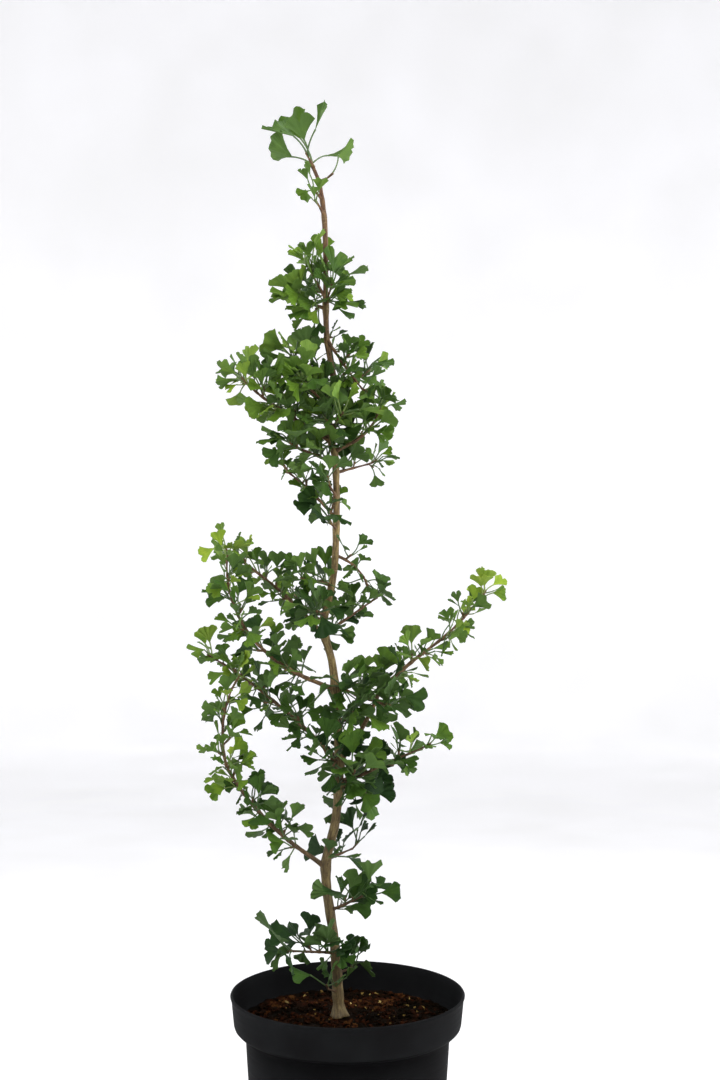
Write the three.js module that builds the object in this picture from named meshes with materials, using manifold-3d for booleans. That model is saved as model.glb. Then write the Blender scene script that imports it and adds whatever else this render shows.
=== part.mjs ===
/**
 * A young ginkgo tree in a round nursery pot, as an assembly of named solids.
 *
 * Millimetres, +Z up. The origin is the centre of the pot's flat underside, +X is to the
 * right of the tree's front and +Y is to its back.
 *
 * One slender trunk zigzags up out of the growing medium. Boughs leave it at named heights.
 * Each bough is a bare tapering limb, and the foliage that follows it grows from one stem:
 * short spurs stand round the stem, and each spur bears a rosette of stalked, fan-shaped,
 * notched leaves. Smaller masses of foliage grow straight from the trunk.
 */
import * as THREE from "three";
import { mergeVertices } from "three/addons/utils/BufferGeometryUtils.js";
import Module from "manifold-3d";

const wasm = await Module();
wasm.setup();

const GAP = 0.3; // clear space between neighbouring pieces
const TRUNK_GAP = 0.4; // clear space round the trunk, whose flat sides are not quite parallel
const CLEANING = 0.12; // slivers thinner than this are closed up
const GOLDEN_ANGLE = 137.5; // degrees from one spur or leaf to the next, round the axis

// ---------------------------------------------------------------- driving sizes

const POT = {
  height: 206,
  rimRadius: 133,
  collarRadius: 129, // outside, where the collar starts to turn in
  bodyRadius: 115.5, // outside, just under the collar
  footRadius: 106, // outside, at the underside
  collarStraight: 35, // from the rim down to where the collar turns in
  collarHeight: 47, // from the rim down to the body
  wall: 3,
  floor: 4,
  edge: 2, // bevel at the foot and the rim
  facets: 38,
  drainHoles: 6,
  drainRadius: 6,
  drainCircle: 82,
  drainFacets: 10,
};

const SOIL = {
  top: 178, // level of the growing medium round the trunk
  sag: 3, // how much lower it lies at the wall
  levelRadius: 40, // how far out it lies level
  shoulder: 25, // width of the slope along the wall
  shoulderDrop: 1, // how far it has fallen where that slope starts
  facets: 28,
};

// Trunk stations: height, shift to the right, shift to the back, thickness.
const TRUNK = [
  [178.3, -10, 0, 19],
  [192, -10.5, 1, 12.6],
  [260, -15, 2, 11],
  [345, -25, 2, 10.8],
  [400, -14, -1, 10.4],
  [450, -10, -3, 10.2],
  [535, -13, -1, 9.6],
  [580, -18, 2, 8.8],
  [622, -28, 5, 8.4],
  [650, -22, 5, 7.8],
  [694, -14.5, 3, 7.6],
  [810, -14, -3, 7.2],
  [850, -22.5, -2, 7],
  [895, -15.5, 2, 6.6],
  [950, -24, 4, 6.2],
  [1075, -26, -1, 5.8],
  [1125, -32, -3, 4.2],
  [1146, -40, -4, 3.2],
];
const TRUNK_SIDES = 9;
const TRUNK_STEPS = 28;
const TRUNK_EASE = 0.25; // how much shorter the steps get towards the ground, where the roots flare

const BOUGH = { sides: 7, steps: 4, taper: 0.88 };
const STEM = { sides: 3, stepLength: 34, radius: 1.6, tipRadius: 0.9 };
const SPUR = {
  sides: 3,
  spacing: 18, // along the stem
  first: 0.35, // place of a spur in its own stretch of the stem, at least
  play: 0.4, // and how far on it may stand
  shortest: 6,
  longest: 13,
  radius: 2.6,
  along: 0.5, // how strongly a spur leans along its stem
  up: 0.35, // and how strongly it turns up
  endSpread: 0.3, // how far the spur at a limb's end stands off its line
  sunk: 2.2, // how deep a leaf's stalk starts inside the spur
  leafStep: 1.9, // between one leaf and the next, down the spur
};
const STALK_RADIUS = 0.85;
const STALK_CORNERS = [[-0.87, 0.5], [0.87, 0.5], [0, -1]]; // of a stalk of radius 1
const LEAF_THICKNESS = 1.1;

// Limbs with a bough: where each leaves the trunk (height), the way it points (azimuth in
// degrees, 0 right, 90 back, 180 left, 270 front, and rise above level), its bare length
// (bough) and thickness there (radius), and then one or two masses of foliage along it. A mass
// has its stem's length, the change of its rise at its foot (bend) and along it (lift), the
// leaves on each spur (4 where nothing is said) and the blades' length.
const LIMBS = [
  {
    name: "lower_left", height: 347, azimuth: 194, rise: 36, bough: 26, radius: 2.7,
    masses: [{ length: 132, lift: 24, blade: 23 }, { length: 92, bend: 14, lift: 40, leaves: 3, blade: 22 }],
  },
  {
    name: "middle_left", height: 468, azimuth: 165, rise: 42, bough: 28, radius: 2.4,
    masses: [{ length: 90, lift: -6, blade: 24 }, { length: 66, lift: -8, leaves: 3, blade: 23 }],
  },
  {
    name: "long_right", height: 466, azimuth: 15, rise: 50, bough: 88, boughLift: 18, radius: 2.7,
    masses: [
      { length: 78, bend: -24, lift: -10, blade: 22 },
      { length: 80, lift: 18, blade: 22 },
    ],
  },
  {
    name: "long_left", height: 549, azimuth: 200, rise: 22, bough: 26, radius: 2.6,
    masses: [{ length: 72, lift: 22, blade: 23 }, { length: 106, lift: 48, blade: 22 }],
  },
  {
    name: "back_right", height: 552, azimuth: 45, rise: 2, bough: 20, radius: 2.1,
    masses: [{ length: 40, lift: -10, blade: 25 }],
  },
  {
    name: "upper_left", height: 610, azimuth: 168, rise: 46, bough: 22, radius: 2.2,
    masses: [{ length: 58, lift: -8, leaves: 2, blade: 22 }, { length: 66, lift: -5, blade: 21 }],
  },
  {
    name: "back_left", height: 625, azimuth: 120, rise: 18, bough: 18, radius: 2.1,
    masses: [{ length: 48, lift: 10, leaves: 3, blade: 25 }],
  },
  {
    name: "top_right", height: 820, azimuth: 350, rise: 25, bough: 16, radius: 2.2,
    masses: [{ length: 46, lift: 40, leaves: 5, blade: 24 }],
  },
  {
    name: "top_left", height: 832, azimuth: 190, rise: 30, bough: 33, radius: 2.4,
    masses: [{ length: 46, lift: 5, leaves: 5, blade: 26 }, { length: 34, lift: 8, leaves: 7, blade: 26 }],
  },
];

// Masses that grow straight from the trunk, from the ground up, told in the same way.
const SHOOTS = [
  { name: "foot", height: 206, azimuth: 240, rise: 20, length: 22, leaves: 2, blade: 25 },
  { name: "foot_right", height: 226, azimuth: 12, rise: 18, length: 18, leaves: 3, blade: 25 },
  { name: "low_left", height: 250, azimuth: 215, rise: 10, length: 58, leaves: 4, blade: 28 },
  { name: "low_right", height: 298, azimuth: 330, rise: 22, length: 46, lift: 8, leaves: 3, blade: 27 },
  { name: "low_back", height: 356, azimuth: 25, rise: 16, length: 34, leaves: 3, blade: 26 },
  { name: "lower_front", height: 444, azimuth: 300, rise: 22, length: 34, leaves: 5, blade: 28 },
  { name: "lower_side", height: 466, azimuth: 240, rise: 24, length: 30, leaves: 5, blade: 26 },
  { name: "lower_back", height: 440, azimuth: 12, rise: -14, length: 34, leaves: 3, blade: 26 },
  { name: "lower_right", height: 438, azimuth: 352, rise: 30, length: 104, lift: -8, leaves: 2, blade: 27 },
  { name: "middle_front", height: 508, azimuth: 300, rise: 26, length: 32, leaves: 5, blade: 26 },
  { name: "middle_right", height: 556, azimuth: 330, rise: -26, length: 64, lift: 16, leaves: 5, blade: 27 },
  { name: "short_right", height: 612, azimuth: 12, rise: 34, length: 66, leaves: 3, blade: 22 },
  { name: "upper_front", height: 634, azimuth: 258, rise: 6, length: 36, leaves: 5, blade: 27 },
  { name: "upper_side", height: 668, azimuth: 205, rise: 12, length: 33, leaves: 5, blade: 25 },
  { name: "hanging_right", height: 702, azimuth: 8, rise: -18, length: 43, lift: -40, leaves: 2, blade: 22 },
  { name: "high_left", height: 732, azimuth: 255, rise: 15, length: 18, leaves: 5, blade: 26 },
  { name: "small_left", height: 743, azimuth: 190, rise: 50, length: 76, lift: -12, leaves: 2, blade: 18 },
  { name: "high_front", height: 768, azimuth: 250, rise: 30, length: 26, leaves: 5, blade: 24 },
  { name: "high_back", height: 796, azimuth: 25, rise: 15, length: 44, leaves: 3, blade: 24 },
  { name: "crown_low", height: 806, azimuth: 196, rise: 22, length: 50, leaves: 5, blade: 28 },
  { name: "crown_front", height: 839, azimuth: 285, rise: 20, length: 46, blade: 26 },
  { name: "crown_back", height: 855, azimuth: 110, rise: 30, length: 50, lift: 6, leaves: 3, blade: 26 },
  { name: "crown_side", height: 870, azimuth: 228, rise: 26, length: 51, lift: 10, leaves: 5, blade: 26 },
  { name: "crown_right", height: 900, azimuth: 12, rise: 12, length: 32, leaves: 5, blade: 24 },
  { name: "crown_left", height: 908, azimuth: 176, rise: 20, length: 44, leaves: 5, blade: 28 },
  { name: "arching_right", height: 950, azimuth: 322, rise: -54, length: 80, lift: 8, leaves: 3, blade: 21 },
  { name: "neck_left", height: 984, azimuth: 200, rise: 14, length: 28, leaves: 5, blade: 26 },
  { name: "neck_right", height: 988, azimuth: 280, rise: 20, length: 28, leaves: 5, blade: 28 },
  { name: "neck_top", height: 996, azimuth: 180, rise: 60, length: 30, leaves: 5, blade: 27 },
  { name: "leader", height: 1090, azimuth: 235, rise: 44, length: 11, leaves: 3, blade: 17 },
  { name: "leader_side", height: 1108, azimuth: 215, rise: 40, length: 11, leaves: 3, blade: 17 },
  { name: "leader_right", height: 1128, azimuth: 345, rise: 20, length: 10, leaves: 1, blade: 27 },
  { name: "tip", height: 1144, azimuth: 170, rise: 65, length: 12, spurs: 2, leaves: 3, blade: 40 },
];
const USUAL_LEAVES = 4; // on a spur
const TREE_SEED = 8; // every mass draws its own numbers from this and its place in the order
const SEED_STEPS = { tree: 100, mass: 7919, spur: 613, leaf: 37 }; // so that no two leaves share one

const LEAF = {
  spread: [22, 72], // degrees between the spur's axis and a leaf's stalk
  round: 90, // degrees a leaf may stand on round its spur from its even place
  retry: 45, // degrees further round at each new attempt
  stalk: [0.3, 0.85], // stalk's length over the blade's
  size: [0.78, 1.16], // blade's length over the mass's blade
  upward: 0.3, // how strongly a stalk turns up
  droop: [-0.3, 0.8], // how far a blade hangs from its stalk's line
  roll: 75, // degrees a blade may turn about its own line, each way
  halfAngle: [34, 48], // degrees from the blade's middle to its side
  corner: 0.88, // radii of the outline over the blade's length
  notch: [0.76, 0.94],
  lobeAt: 0.5, // where the lobes stand, over the half angle
  thickAt: 0.45, // where the blade is thickest
  cup: [-0.1, 0.16], // how far the corners rise, over the blade's length
  attempts: 10,
};
// Least distances of a leaf's sample points from blades, limbs and stalks. Blades whose
// middles are further apart than reach never meet.
const CLEAR = { blade: 5, limb: 2.5, stalk: 2.5, soil: 2, reach: 110 };
const LIMB_POINT_SPACING = 5; // between the points that stand for a limb in those tests

// ---------------------------------------------------------------- seeded draws

/** A stream of numbers from 0 to 1 that depends on its seed alone. */
function drawsFrom(seed) {
  let state = Math.imul(seed, 2654435761) >>> 0;
  const next = () => {
    state = (Math.imul(state, 1664525) + 1013904223) >>> 0;
    return state / 4294967296;
  };
  next();
  next();
  return next;
}

const between = ([low, high], draw) => low + (high - low) * draw();

// ---------------------------------------------------------------- lines of growth

const vector = (x, y, z) => new THREE.Vector3(x, y, z);
const UP = vector(0, 0, 1);
const radians = THREE.MathUtils.degToRad;

/** The unit vector that points to an azimuth and rises above level, both in degrees. */
function heading(azimuth, rise) {
  const level = Math.cos(radians(rise));
  return vector(
    level * Math.cos(radians(azimuth)),
    level * Math.sin(radians(azimuth)),
    Math.sin(radians(rise)),
  );
}

/** The level unit vector at right angles to an azimuth. */
const sideways = (azimuth) => vector(-Math.sin(radians(azimuth)), Math.cos(radians(azimuth)), 0);

/** Two unit vectors across an axis. */
function acrossOf(axis) {
  const first = Math.abs(axis.z) < 0.9 ? UP : vector(1, 0, 0);
  const side = first.clone().cross(axis).normalize();
  return [side, axis.clone().cross(side)];
}

/** Trunk centre and thickness at a height: a smooth curve through the stations. */
function trunkAt(height) {
  const last = TRUNK.length - 1;
  let i = 0;
  while (i < last - 1 && TRUNK[i + 1][0] < height) i += 1;
  const [before, here, next, after] = [
    TRUNK[Math.max(i - 1, 0)], TRUNK[i], TRUNK[i + 1], TRUNK[Math.min(i + 2, last)],
  ];
  const span = next[0] - here[0];
  const t = (height - here[0]) / span;
  const smooth = (column) => {
    const slopeHere = (next[column] - before[column]) / (next[0] - before[0]);
    const slopeNext = (after[column] - here[column]) / (after[0] - here[0]);
    return (
      (2 * t ** 3 - 3 * t ** 2 + 1) * here[column] +
      (t ** 3 - 2 * t ** 2 + t) * span * slopeHere +
      (3 * t ** 2 - 2 * t ** 3) * next[column] +
      (t ** 3 - t ** 2) * span * slopeNext
    );
  };
  const thickness = here[3] + (next[3] - here[3]) * t;
  return { centre: vector(smooth(1), smooth(2), height), radius: thickness / 2 };
}

/** A line that starts at a point and turns evenly as it grows. Places on it run from 0 to 1. */
class Line {
  constructor({ start, azimuth, rise, lift = 0, length, radii }) {
    Object.assign(this, { start, azimuth, rise, lift, length, radii });
  }
  headingAt(t) {
    return heading(this.azimuth, this.rise + this.lift * t);
  }
  pointAt(t) {
    const steps = 12;
    const point = this.start.clone();
    for (let k = 0; k < steps; k += 1) {
      point.addScaledVector(this.headingAt(((k + 0.5) / steps) * t), (t * this.length) / steps);
    }
    return point;
  }
  radiusAt(t) {
    return this.radii[0] + (this.radii[1] - this.radii[0]) * t;
  }
  /** Two unit vectors across the line. */
  acrossAt(t) {
    const side = sideways(this.azimuth);
    return [side, this.headingAt(t).cross(side)];
  }
}

// ---------------------------------------------------------------- solids

/** A manifold solid from a closed three.js geometry. */
function solidFrom(geometry) {
  const bare = geometry.clone();
  bare.deleteAttribute("normal");
  bare.deleteAttribute("uv");
  const merged = mergeVertices(bare, 1e-4);
  return new wasm.Manifold(
    new wasm.Mesh({
      numProp: 3,
      vertProperties: new Float32Array(merged.attributes.position.array),
      triVerts: new Uint32Array(merged.index.array),
    }),
  );
}

/** A three.js geometry from the largest body of a manifold solid. */
function geometryFrom(solid) {
  const bodies = solid.asOriginal().simplify(CLEANING).decompose();
  const [body] = bodies.sort((a, b) => b.volume() - a.volume());
  const mesh = body.getMesh();
  const geometry = new THREE.BufferGeometry();
  geometry.setAttribute("position", new THREE.BufferAttribute(mesh.vertProperties, 3));
  geometry.setIndex(new THREE.BufferAttribute(mesh.triVerts, 1));
  geometry.computeVertexNormals();
  return geometry;
}

/** A closed rod bent along a line: place(t) gives its centre, radius and two vectors across. */
function rod(place, sides, steps) {
  const geometry = new THREE.CylinderGeometry(1, 1, 1, sides, steps);
  const position = geometry.attributes.position;
  for (let i = 0; i < position.count; i += 1) {
    const { centre, radius, across } = place(position.getY(i) + 0.5);
    centre.addScaledVector(across[0], radius * position.getZ(i));
    centre.addScaledVector(across[1], radius * position.getX(i));
    position.setXYZ(i, centre.x, centre.y, centre.z);
  }
  return solidFrom(geometry);
}

/** The rod of a growth line. */
function limbSolid(line, sides, steps) {
  const place = (t) => ({
    centre: line.pointAt(t), radius: line.radiusAt(t), across: line.acrossAt(t),
  });
  return rod(place, sides, steps);
}

/** The trunk, made thicker all round by a margin. */
function trunkSolid(margin = 0) {
  const [bottom, top] = [TRUNK[0][0], TRUNK[TRUNK.length - 1][0]];
  const heightAt = (t) => bottom + (top - bottom) * t * (1 - TRUNK_EASE + TRUNK_EASE * t);
  const place = (t) => {
    const { centre, radius } = trunkAt(heightAt(t));
    return { centre, radius: radius + margin, across: [vector(1, 0, 0), vector(0, 1, 0)] };
  };
  return rod(place, TRUNK_SIDES, TRUNK_STEPS);
}

/**
 * A leaf in its own frame: right, forward and normal are unit vectors, root and base are the
 * two ends of the stalk. The blade is a fan with two lobes and a notch, thickest in its middle.
 */
function leafSolid(leaf) {
  const { root, base, right, forward, normal, length, halfAngle, notch, cup } = leaf;
  const stalk = base.clone().sub(root).normalize();
  const stalkRight = right.clone().addScaledVector(stalk, -right.dot(stalk)).normalize();
  const stalkNormal = stalkRight.clone().cross(stalk);
  const ring = (centre, radius) =>
    STALK_CORNERS.map(([x, y]) =>
      centre.clone().addScaledVector(stalkRight, x * radius).addScaledVector(stalkNormal, y * radius));
  const onBlade = (share, radius, lift) => {
    const angle = radians(halfAngle * share);
    return base.clone()
      .addScaledVector(right, Math.sin(angle) * radius * length)
      .addScaledVector(forward, Math.cos(angle) * radius * length)
      .addScaledVector(normal, lift);
  };
  const rise = cup * length;
  const points = [
    ...ring(root, STALK_RADIUS),
    ...ring(base, STALK_RADIUS),
    onBlade(-1, LEAF.corner, rise),
    onBlade(-LEAF.lobeAt, 1, 0),
    onBlade(0, notch, 0),
    onBlade(LEAF.lobeAt, 1, 0),
    onBlade(1, LEAF.corner, rise),
    onBlade(0, LEAF.thickAt, LEAF_THICKNESS),
  ];
  const faces = [
    0, 2, 1, 0, 1, 4, 0, 4, 3, 1, 2, 5, 1, 5, 4, 2, 0, 3, 2, 3, 5, // stalk
    11, 4, 10, 11, 10, 9, 11, 9, 8, 11, 8, 7, 11, 7, 6, 11, 6, 3, 11, 3, 4, // upper side
    5, 3, 6, 5, 6, 7, 5, 7, 8, 5, 8, 9, 5, 9, 10, 5, 10, 4, // lower side
  ];
  const geometry = new THREE.BufferGeometry().setFromPoints(points);
  geometry.setIndex(faces);
  return solidFrom(geometry);
}

// ---------------------------------------------------------------- rule of growth

/** The spurs round a mass's stem: evenly spaced, a golden angle apart, one at the limb's end. */
function spursOn({ line, seed, isLast, spurs: given }) {
  const draw = drawsFrom(seed);
  const phase = 360 * draw();
  const count = given ?? Math.max(1, Math.round(line.length / SPUR.spacing));
  const spurs = [];
  for (let i = 0; i < count; i += 1) {
    const atEnd = isLast && i === count - 1;
    const t = atEnd ? 1 : (i + SPUR.first + SPUR.play * draw()) / count;
    const angle = radians(phase + GOLDEN_ANGLE * i);
    const spread = atEnd ? SPUR.endSpread : 1;
    const [side, over] = line.acrossAt(t);
    const axis = line.headingAt(t).multiplyScalar(atEnd ? 1 : SPUR.along);
    axis.addScaledVector(side, spread * Math.cos(angle));
    axis.addScaledVector(over, spread * Math.sin(angle));
    axis.addScaledVector(UP, SPUR.up).normalize();
    const length = SPUR.shortest + (SPUR.longest - SPUR.shortest) * draw() ** 2;
    const foot = line.pointAt(t);
    const tip = foot.clone().addScaledVector(axis, length + line.radiusAt(t) / 2);
    spurs.push({ foot, tip, axis });
  }
  return spurs;
}

/** One leaf of a spur's rosette. Each attempt has its own draws. */
function leafOn(spur, mass, spurIndex, leafIndex, attempt) {
  const draw = drawsFrom(
    mass.seed * SEED_STEPS.mass + spurIndex * SEED_STEPS.spur + leafIndex * SEED_STEPS.leaf + attempt,
  );
  const [side, over] = acrossOf(spur.axis);
  const round = radians(GOLDEN_ANGLE * leafIndex + LEAF.round * draw() + LEAF.retry * attempt);
  const spread = radians(between(LEAF.spread, draw));
  const stalk = spur.axis.clone().multiplyScalar(Math.cos(spread));
  stalk.addScaledVector(side, Math.sin(spread) * Math.cos(round));
  stalk.addScaledVector(over, Math.sin(spread) * Math.sin(round));
  stalk.addScaledVector(UP, LEAF.upward).normalize();
  const length = mass.blade * between(LEAF.size, draw);
  const sunk = SPUR.sunk + SPUR.leafStep * leafIndex;
  const root = spur.tip.clone().addScaledVector(spur.axis, -sunk);
  const base = root.clone().addScaledVector(stalk, SPUR.sunk + length * between(LEAF.stalk, draw));
  const forward = stalk.clone().addScaledVector(UP, -between(LEAF.droop, draw)).normalize();
  const level = Math.abs(forward.z) < 0.95 ? UP : stalk;
  const flat = level.clone().addScaledVector(forward, -level.dot(forward)).normalize();
  const normal = flat.applyAxisAngle(forward, radians(LEAF.roll * (2 * draw() - 1)));
  const right = forward.clone().cross(normal);
  const halfAngle = between(LEAF.halfAngle, draw);
  const notch = between(LEAF.notch, draw);
  const cup = between(LEAF.cup, draw);
  return { root, base, right, forward, normal, length, halfAngle, notch, cup };
}

/** Points that stand for a leaf in the tests for free space. */
function samplesOf(leaf) {
  const at = (share, radius) => {
    const angle = radians(leaf.halfAngle * share);
    return leaf.base.clone()
      .addScaledVector(leaf.right, Math.sin(angle) * radius * leaf.length)
      .addScaledVector(leaf.forward, Math.cos(angle) * radius * leaf.length);
  };
  const blade = [at(0, 0.3)];
  for (const share of [-0.8, 0, 0.8]) blade.push(at(share, 0.6));
  for (const share of [-1, -0.5, 0, 0.5, 1]) blade.push(at(share, 0.93));
  return { blade, stalk: [leaf.root.clone().lerp(leaf.base, 0.6), leaf.base.clone()] };
}

/** Whether a leaf's samples stay clear of the limbs and of every leaf that is already there. */
function isFree(samples, limbPoints, placed) {
  const near = (points, others, least) =>
    points.some((p) => others.some((q) => p.distanceToSquared(q) < least * least));
  const nearLimb = (points, least) =>
    points.some((p) => limbPoints.some(({ point, radius }) => p.distanceTo(point) < radius + least));
  if (samples.blade.some((p) => p.z < SOIL.top + CLEAR.soil)) return false;
  if (nearLimb(samples.blade, CLEAR.limb)) return false;
  const middle = samples.blade[0];
  for (const other of placed) {
    if (middle.distanceTo(other.blade[0]) > CLEAR.reach) continue;
    if (near(samples.blade, other.blade, CLEAR.blade)) return false;
    if (near(samples.blade, other.stalk, CLEAR.stalk)) return false;
    if (near(samples.stalk, other.blade, CLEAR.stalk)) return false;
  }
  return true;
}

// ---------------------------------------------------------------- the plan of the tree

/** How far past a limb's end the next piece starts, so that their flat ends stay clear in a bend. */
function clearOfBend(radius, bend) {
  const angle = radians(Math.abs(bend));
  return (GAP + radius * Math.sin(angle)) / Math.cos(angle);
}

/** The boughs and the masses' stems as lines of growth, in order. */
function planLimbs() {
  const boughs = [];
  const masses = [];
  const addMass = (name, line, mass, isLast, fromTrunk) => {
    const seed = TREE_SEED * SEED_STEPS.tree + masses.length;
    masses.push({ leaves: USUAL_LEAVES, ...mass, name, line, isLast, fromTrunk, seed });
  };
  for (const { name, height, azimuth, bough, boughLift: lift = 0, ...limb } of LIMBS) {
    const { centre, radius: trunkRadius } = trunkAt(height);
    let { rise, radius } = limb;
    const length = bough + trunkRadius;
    const radii = [radius, radius * BOUGH.taper];
    const line = new Line({ start: centre, azimuth, rise, lift, length, radii });
    boughs.push({ name: `bough_${name}`, line });
    let start = line.pointAt(1);
    rise += lift;
    radius = radii[1];
    limb.masses.forEach((mass, i) => {
      const { bend = 0 } = mass;
      rise += bend;
      start.addScaledVector(heading(azimuth, rise), clearOfBend(radius, bend));
      const isLast = i === limb.masses.length - 1;
      const tipRadius = isLast ? STEM.tipRadius : (radius + STEM.tipRadius) / 2;
      const stem = new Line({ ...mass, start, azimuth, rise, radii: [radius, tipRadius] });
      const place = limb.masses.length === 1 ? "" : ["_inner", "_outer"][i];
      addMass(`foliage_${name}${place}`, stem, mass, isLast, false);
      rise += stem.lift;
      radius = tipRadius;
      start = stem.pointAt(1);
    });
  }
  for (const { name, height, ...shoot } of SHOOTS) {
    const radii = [STEM.radius, STEM.tipRadius];
    const stem = new Line({ ...shoot, start: trunkAt(height).centre, radii });
    addMass(`foliage_${name}`, stem, shoot, true, true);
  }
  return { boughs, masses };
}

/** Points with radii along the trunk, the boughs and the stems. */
function limbPointsOf(lines) {
  const points = [];
  const top = TRUNK[TRUNK.length - 1][0];
  for (let height = TRUNK[0][0]; height < top; height += LIMB_POINT_SPACING) {
    const { centre, radius } = trunkAt(height);
    points.push({ point: centre, radius });
  }
  for (const line of lines) {
    const count = Math.ceil(line.length / LIMB_POINT_SPACING);
    for (let i = 0; i <= count; i += 1) {
      points.push({ point: line.pointAt(i / count), radius: line.radiusAt(i / count) });
    }
  }
  return points;
}

/** A spur's three-sided twig, thicker all round by a margin. */
function spurSolid({ foot, tip, axis }, margin = 0) {
  const [side, over] = acrossOf(axis);
  const place = (t) => ({
    centre: foot.clone().lerp(tip, t), radius: SPUR.radius + margin, across: [side, over],
  });
  return rod(place, SPUR.sides, 1);
}

const boxed = (solid) => ({ solid, box: solid.boundingBox() });

/** Whether two boxes have no room in common. */
const areApart = (a, b) => [0, 1, 2].some((k) => a.min[k] > b.max[k] || a.max[k] < b.min[k]);

/** Whether a solid touches any of the others, apart from what lies inside an allowed one. */
function touches(solid, others, allowed) {
  const box = solid.boundingBox();
  return others.some((other) => {
    if (areApart(box, other.box)) return false;
    const common = solid.intersect(other.solid);
    return !(allowed ? common.subtract(allowed) : common).isEmpty();
  });
}

/** The stem and spurs of every mass. A spur that would touch another limb is left out. */
function growWood(masses, limbSolids) {
  const stems = masses.map(({ line }) => (
    limbSolid(line, STEM.sides, Math.max(1, Math.round(line.length / STEM.stepLength)))
  ));
  const limbs = [...limbSolids, ...stems].map(boxed);
  return masses.map((mass, m) => {
    const others = limbs.filter((_, k) => k !== limbSolids.length + m);
    const spurs = spursOn(mass).filter((spur) => !touches(spurSolid(spur, GAP), others));
    const twigs = spurs.map((spur) => spurSolid(spur));
    limbs.push(...twigs.map(boxed));
    return { spurs, solid: wasm.Manifold.union([stems[m], ...twigs]) };
  });
}

/** The first attempt at a leaf that finds free space. */
function freeLeaf(spur, mass, spurIndex, leafIndex, limbPoints, placed) {
  for (let attempt = 0; attempt < LEAF.attempts; attempt += 1) {
    const leaf = leafOn(spur, mass, spurIndex, leafIndex, attempt);
    const samples = samplesOf(leaf);
    if (isFree(samples, limbPoints, placed)) return { leaf, samples };
  }
  return null;
}

/** Grows every mass: stem, spurs and the leaves that find free space, joined into one solid. */
function growMasses({ boughs, masses }, limbSolids) {
  const limbPoints = limbPointsOf([...boughs, ...masses].map(({ line }) => line));
  const placed = [];
  const wood = growWood(masses, limbSolids);
  const neighbours = [...limbSolids, ...wood.map(({ solid }) => solid)].map(boxed);
  return masses.map((mass, m) => {
    const others = neighbours.filter((_, k) => k !== limbSolids.length + m);
    const leaves = [];
    wood[m].spurs.forEach((spur, s) => {
      for (let l = 0; l < mass.leaves; l += 1) {
        const found = freeLeaf(spur, mass, s, l, limbPoints, placed);
        if (!found) continue;
        placed.push(found.samples);
        const solid = leafSolid(found.leaf);
        if (touches(solid, others) || touches(solid, leaves, wood[m].solid)) continue;
        leaves.push(boxed(solid));
      }
    });
    neighbours.push(...leaves);
    const solid = wasm.Manifold.union([wood[m].solid, ...leaves.map((leaf) => leaf.solid)]);
    return { ...mass, solid };
  });
}

// ---------------------------------------------------------------- pot and growing medium

/** The outside radius of the pot at a height. */
function potRadiusAt(height) {
  const collarFoot = POT.height - POT.collarStraight;
  const bodyTop = POT.height - POT.collarHeight;
  if (height >= collarFoot) {
    const t = (height - collarFoot) / POT.collarStraight;
    return POT.collarRadius + (POT.rimRadius - POT.collarRadius) * t;
  }
  if (height >= bodyTop) {
    const t = (height - bodyTop) / (collarFoot - bodyTop);
    return POT.bodyRadius + (POT.collarRadius - POT.bodyRadius) * Math.sin((t * Math.PI) / 2);
  }
  return POT.footRadius + ((POT.bodyRadius - POT.footRadius) * height) / bodyTop;
}

/** Heights at which the pot's wall changes course, from the body's top to the collar's foot. */
const WALL_HEIGHTS = [0, 0.5, 1].map((t) => (
  POT.height - POT.collarHeight + t * (POT.collarHeight - POT.collarStraight)
));

function potSolid() {
  const inside = (height) => potRadiusAt(height) - POT.wall;
  const profile = [
    [0, 0],
    [POT.footRadius - POT.edge, 0],
    [potRadiusAt(POT.edge), POT.edge],
    ...WALL_HEIGHTS.map((height) => [potRadiusAt(height), height]),
    [POT.rimRadius, POT.height - POT.edge],
    [POT.rimRadius - POT.edge / 2, POT.height],
    [POT.rimRadius - POT.wall, POT.height],
    ...[...WALL_HEIGHTS].reverse().map((height) => [inside(height), height]),
    [inside(POT.floor), POT.floor],
    [0, POT.floor],
  ].map(([x, y]) => new THREE.Vector2(x, y));
  const shell = solidFrom(new THREE.LatheGeometry(profile, POT.facets).rotateX(Math.PI / 2));
  const holes = [];
  for (let i = 0; i < POT.drainHoles; i += 1) {
    const angle = (2 * Math.PI * (i + 0.5)) / POT.drainHoles;
    const { drainRadius, drainFacets, floor } = POT;
    const hole = new THREE.CylinderGeometry(drainRadius, drainRadius, 4 * floor, drainFacets);
    hole.rotateX(Math.PI / 2);
    hole.translate(POT.drainCircle * Math.cos(angle), POT.drainCircle * Math.sin(angle), 0);
    holes.push(solidFrom(hole));
  }
  return shell.subtract(wasm.Manifold.union(holes));
}

function soilSolid() {
  const against = (height) => potRadiusAt(height) - POT.wall - 2 * GAP;
  const wallTop = SOIL.top - SOIL.sag;
  const profile = [
    [0, POT.floor + GAP],
    [against(POT.floor), POT.floor + GAP],
    ...WALL_HEIGHTS.map((height) => [against(height), height]),
    [against(wallTop), wallTop],
    [against(wallTop) - SOIL.shoulder, SOIL.top - SOIL.shoulderDrop],
    [SOIL.levelRadius, SOIL.top],
    [0, SOIL.top],
  ].map(([x, y]) => new THREE.Vector2(x, y));
  return solidFrom(new THREE.LatheGeometry(profile, SOIL.facets).rotateX(Math.PI / 2));
}

// ---------------------------------------------------------------- assembly

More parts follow.
